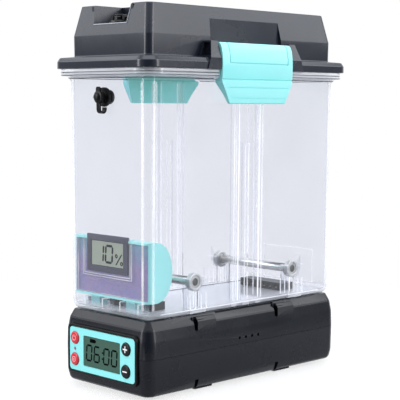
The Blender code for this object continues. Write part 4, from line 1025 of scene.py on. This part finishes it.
# ---- CAD pieces that keep their shape ------------------------------------------------------
BOARD = plastic("board_look", (20, 74, 48), 0.4)
DUCT = plastic("duct_look", (66, 68, 74), 0.5)
LOOKS = {"board": BOARD, "air_duct": DUCT, "heater_block": STEEL, "gasket": RUBBER, "foot": RUBBER,
         "screw": STEEL, "pin": STEEL, "cell": STEEL}
for name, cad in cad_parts.items():
    if cad.hide_render:
        continue
    look = next((look for word, look in LOOKS.items() if word in name), BLACK)
    cad.data.materials.clear()
    cad.data.materials.append(look)
    soften(cad, 0.2)

# ---- stage, light and camera ---------------------------------------------------------------
world = bpy.data.worlds.new("studio")
bpy.context.scene.world = world
world.use_nodes = True
tree = world.node_tree
tree.nodes.clear()
direction = node(tree, "TexCoord").outputs["Generated"]
towards = node(tree, "VectorMath", operation="DOT_PRODUCT")
feed(tree, towards, 0, direction)
feed(tree, towards, 1, (0.71, -0.70, 0.0))
towards = towards.outputs["Value"]
shaded = node(tree, "Math", operation="MULTIPLY")
feed(tree, shaded, 0, spread(tree, component(tree, direction, "Z"), 0.36, 1.12, 0.0, 0.55))
feed(tree, shaded, 1, spread(tree, towards, 1.0, 0.1, 0.72, 0.95))
light = node(tree, "Background")
feed(tree, light, "Color", (0.93, 0.96, 1.0, 1.0))
feed(tree, light, "Strength", larger(tree, shaded.outputs[0], spread(tree, towards, 1.15, 0.0, -0.7, -0.4)))
white = node(tree, "Background")
feed(tree, white, "Color", (1.0, 1.0, 1.0, 1.0))
path = node(tree, "LightPath")
seen = larger(tree, path.outputs["Is Camera Ray"], path.outputs["Is Transmission Ray"])
wire(tree, mixed(tree, seen, light, white), node(tree, "OutputWorld"))


def make_floor():
    floor = from_loops("floor", [circle(900.0, "Z", run, (0.0, 0.0), 96) for run in (-4.0, -0.05)])
    made, tree, output, place_of = graph_of("floor_look")
    length = node(tree, "VectorMath", operation="LENGTH")
    feed(tree, length, 0, place_of)
    shader = node(tree, "BsdfPrincipled")
    feed(tree, shader, "Base Color", (0.96, 0.96, 0.965, 1.0))
    feed(tree, shader, "Roughness", 0.7)
    feed(tree, shader, "Specular IOR Level", 0.2)
    fade = spread(tree, length.outputs["Value"], 0.84, 1.0, 0.2, 0.6)
    wire(tree, mixed(tree, fade, shader, node(tree, "BsdfTransparent")), output)
    floor.data.materials.append(made)


make_floor()


def softbox(name, spot, size, power, aim=(0.0, 0.0, 0.17)):
    lamp = bpy.data.lights.new(name, "AREA")
    lamp.shape = "RECTANGLE"
    lamp.size, lamp.size_y = size
    lamp.energy = power
    lamp.color = (0.95, 0.97, 1.0)
    made = place(name, lamp)
    made.location = spot
    made.rotation_euler = (Vector(aim) - Vector(spot)).to_track_quat("-Z", "Y").to_euler()


softbox("top_light", (0.1, -0.1, 1.4), (1.3, 1.3), 12.0)
softbox("left_light", (-1.05, -1.05, 1.0), (1.2, 1.0), 8.0, aim=(0.0, 0.0, 0.25))
softbox("right_light", (1.05, 1.05, 1.0), (1.2, 1.0), 9.0, aim=(0.0, 0.0, 0.25))
softbox("left_strip", (-0.62, -1.53, 0.6), (0.4, 1.2), 11.0)
softbox("right_strip", (1.53, 0.62, 0.6), (0.4, 1.2), 10.0)

cam = bpy.data.cameras.new("camera")
camera = place("camera", cam)
bpy.context.scene.camera = camera
cam.sensor_width = 36.0
cam.lens = 107.87
cam.clip_start, cam.clip_end = 0.05, 20.0
azimuth, elevation, roll = math.radians(45.45), math.radians(4.66), math.radians(0.313)
reach = math.cos(elevation)
back = Vector((math.sin(azimuth) * reach, -math.cos(azimuth) * reach, math.sin(elevation)))
camera.location = (0.8074, -0.8024, 0.2569)
turn = (-back).to_track_quat("-Z", "Y").to_matrix()
camera.rotation_mode = "QUATERNION"
camera.rotation_quaternion = (turn @ Matrix.Rotation(roll, 3, "Z")).to_quaternion()

bpy.context.scene.view_settings.view_transform = "Standard"
bpy.context.scene.view_settings.look = "None"
